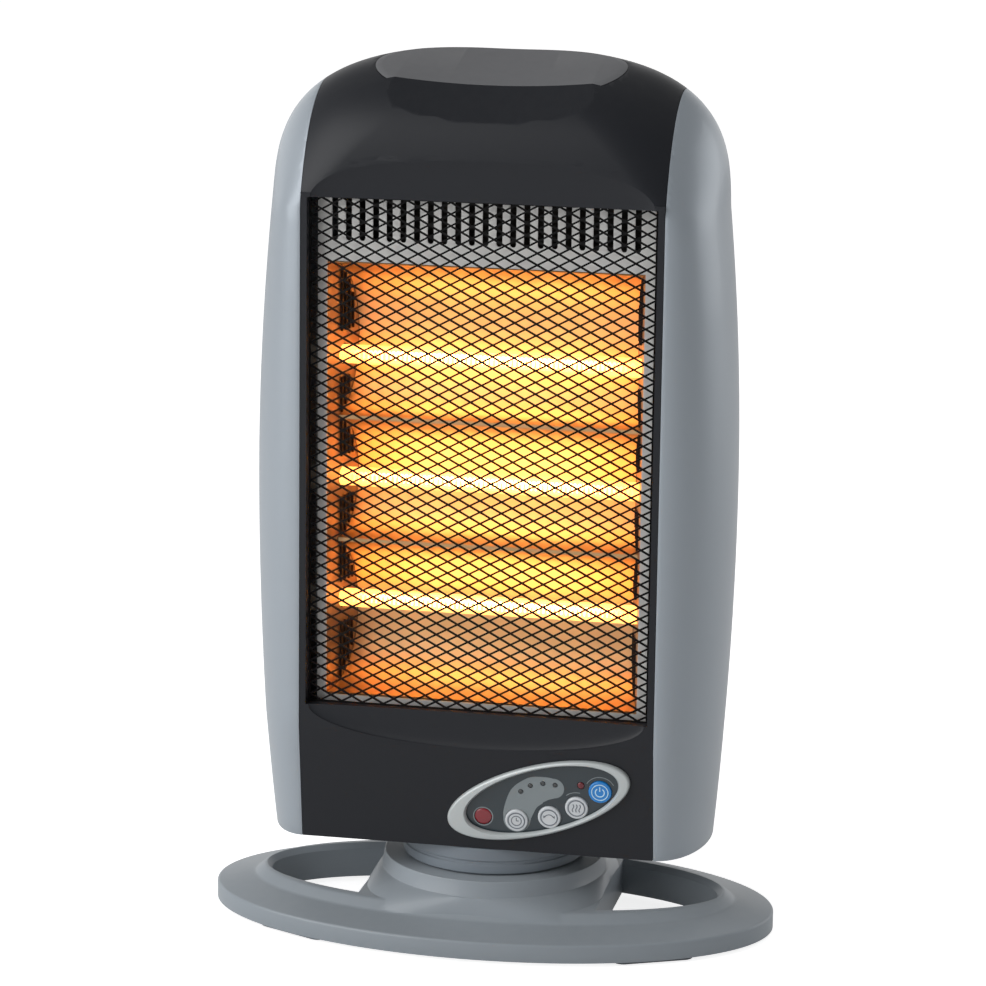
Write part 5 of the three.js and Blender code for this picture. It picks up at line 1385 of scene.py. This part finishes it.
# ==== Push buttons
# Round keys with a softly rounded edge, a fine groove and a printed ring round a raised sign: a
# clock, a pair of swing arrows, heat waves and, on the blue key, the usual on and off sign.
BUTTON_TOP = -FIT_GAP + 0.0012
KEY_FLANGE = 0.001
KEY_FLANGE_HEIGHTS = (-0.0031, -0.0021)
KEY_EDGE = ((0, -0.0005), (0.00015, -0.0002), (0.0005, 0))  # steps in and down from the key's top edge
KEY_GROOVE = ((0.0012, 0), (0.0014, -0.0002), (0.0018, -0.0002), (0.0020, 0))
KEY_COLOUR = (0.66, 0.69, 0.72, 1)
POWER_COLOUR = (0.010, 0.23, 0.66, 1)
SIGN_COLOUR = (0.16, 0.18, 0.21, 1)
POWER_SIGN_COLOUR = (0.55, 0.80, 0.95, 1)
RING_RADIUS = 0.0044
SIGN_LINE = 0.0005
POWER_LINE = 0.0006
SIGN_DEPTH = 0.0002
SIGN_LIFT = 0.00012
CLOCK_RADIUS = 0.0027
CLOCK_HANDS = ((0, 0.0018), (0.0013, 0))
ARROW_HEAD = np.array([(0.0031, -0.0004), (0.0030, 0.0012), (0.0019, 0.0004)])
WAVE_PLACES = (-0.0018, 0, 0.0018)
WAVE_SWING = 0.0004
WAVE_HALF_HEIGHT = 0.0022
POWER_ARC_RADIUS = 0.0024
POWER_BAR = ((0, 0.0006), (0, 0.0032))


def stroke(a, b, width):
    """A thin bar between two points."""
    a, b = np.array(a, float), np.array(b, float)
    along = (b - a) / np.linalg.norm(b - a)
    across = np.array([-along[1], along[0]]) * width / 2
    return np.array([a - across, b - across, b + across, a + across])


def wave(centre_x):
    """An upright S-shaped line."""
    t = np.linspace(-1, 1, 20)
    spine = np.stack([centre_x + WAVE_SWING * np.sin(math.pi * t), WAVE_HALF_HEIGHT * t], 1)
    right, left, *_ = strip_along(spine, SIGN_LINE / 2)
    return np.concatenate([right, left[::-1]])


signs = {
    "timer": [arc_band((0, 0), CLOCK_RADIUS, SIGN_LINE, 0, 359),
              *(stroke((0, 0), tip, SIGN_LINE) for tip in CLOCK_HANDS)],
    "swing": [arc_band((0, -0.001), CLOCK_RADIUS, SIGN_LINE, 25, 155),
              (ARROW_HEAD * (-1, 1))[[0, 2, 1]], ARROW_HEAD],
    "heat": [wave(x) for x in WAVE_PLACES],
    "power": [arc_band((0, 0), POWER_ARC_RADIUS, POWER_LINE, -235, 55), stroke(*POWER_BAR, POWER_LINE)],
}
pale = (moulded_plastic("key_pale_plastic", KEY_COLOUR, 0.3, grain=1400.0, coat=0.2, dust=0.02),
        moulded_plastic("sign_grey_ink", SIGN_COLOUR, 0.5, dust=0.0), "button_plastic")
blue = (moulded_plastic("key_blue_plastic", POWER_COLOUR, 0.25, grain=1400.0, coat=0.4, dust=0.0),
        moulded_plastic("sign_pale_ink", POWER_SIGN_COLOUR, 0.5, dust=0.0), "blue_plastic")
flange_bottom, flange_top = KEY_FLANGE_HEIGHTS
key_profile = [(BUTTON_RADIUS + KEY_FLANGE, flange_bottom), (BUTTON_RADIUS + KEY_FLANGE, flange_top),
               (BUTTON_RADIUS, flange_top)]
key_profile += [(BUTTON_RADIUS - back, BUTTON_TOP + down) for back, down in (*KEY_EDGE, *KEY_GROOVE)]
for name, place in BUTTON_PLACES.items():
    key_material, sign_material, slot = blue if name == "power" else pale
    key = moved(turned(f"{name}_key_cap", key_profile), *place)
    smooth(key, 40)
    dress(place_on_panel(key), key_material, f"{name}_key", slot, f"{name}_button")
    ring = arc_band((0, 0), RING_RADIUS, SIGN_LINE, 0, 359, 48)
    for index, outline in enumerate([ring, *signs[name]], 1):
        mark = prism(f"{name}_sign_{index}", outline, BUTTON_TOP - SIGN_DEPTH, BUTTON_TOP + SIGN_LIFT)
        dress(place_on_panel(moved(mark, *place)), sign_material, f"{name}_key", slot)

# ==== Boards and crank
# The lacquered boards behind the keys and beside the motor, and the white crank that works in the
# swivel plate's slot.
BOARD_COLOUR = (0.018, 0.085, 0.032, 1)
CRANK_COLOUR = (0.76, 0.74, 0.68, 1)

board_lacquer = moulded_plastic("board_green_lacquer", BOARD_COLOUR, 0.35, clouding=0.25, grain=500.0,
                                coat=0.3, dust=0.05)
finish_nodes(board_lacquer, "control_board", "power_board")
finish_nodes(moulded_plastic("crank_white_plastic", CRANK_COLOUR, 0.5), "swing_crank")

# The whole forms that the covers were cut from are no longer needed.
for spare in (head_outer, head_inner, head_shell):
    bpy.data.objects.remove(spare)
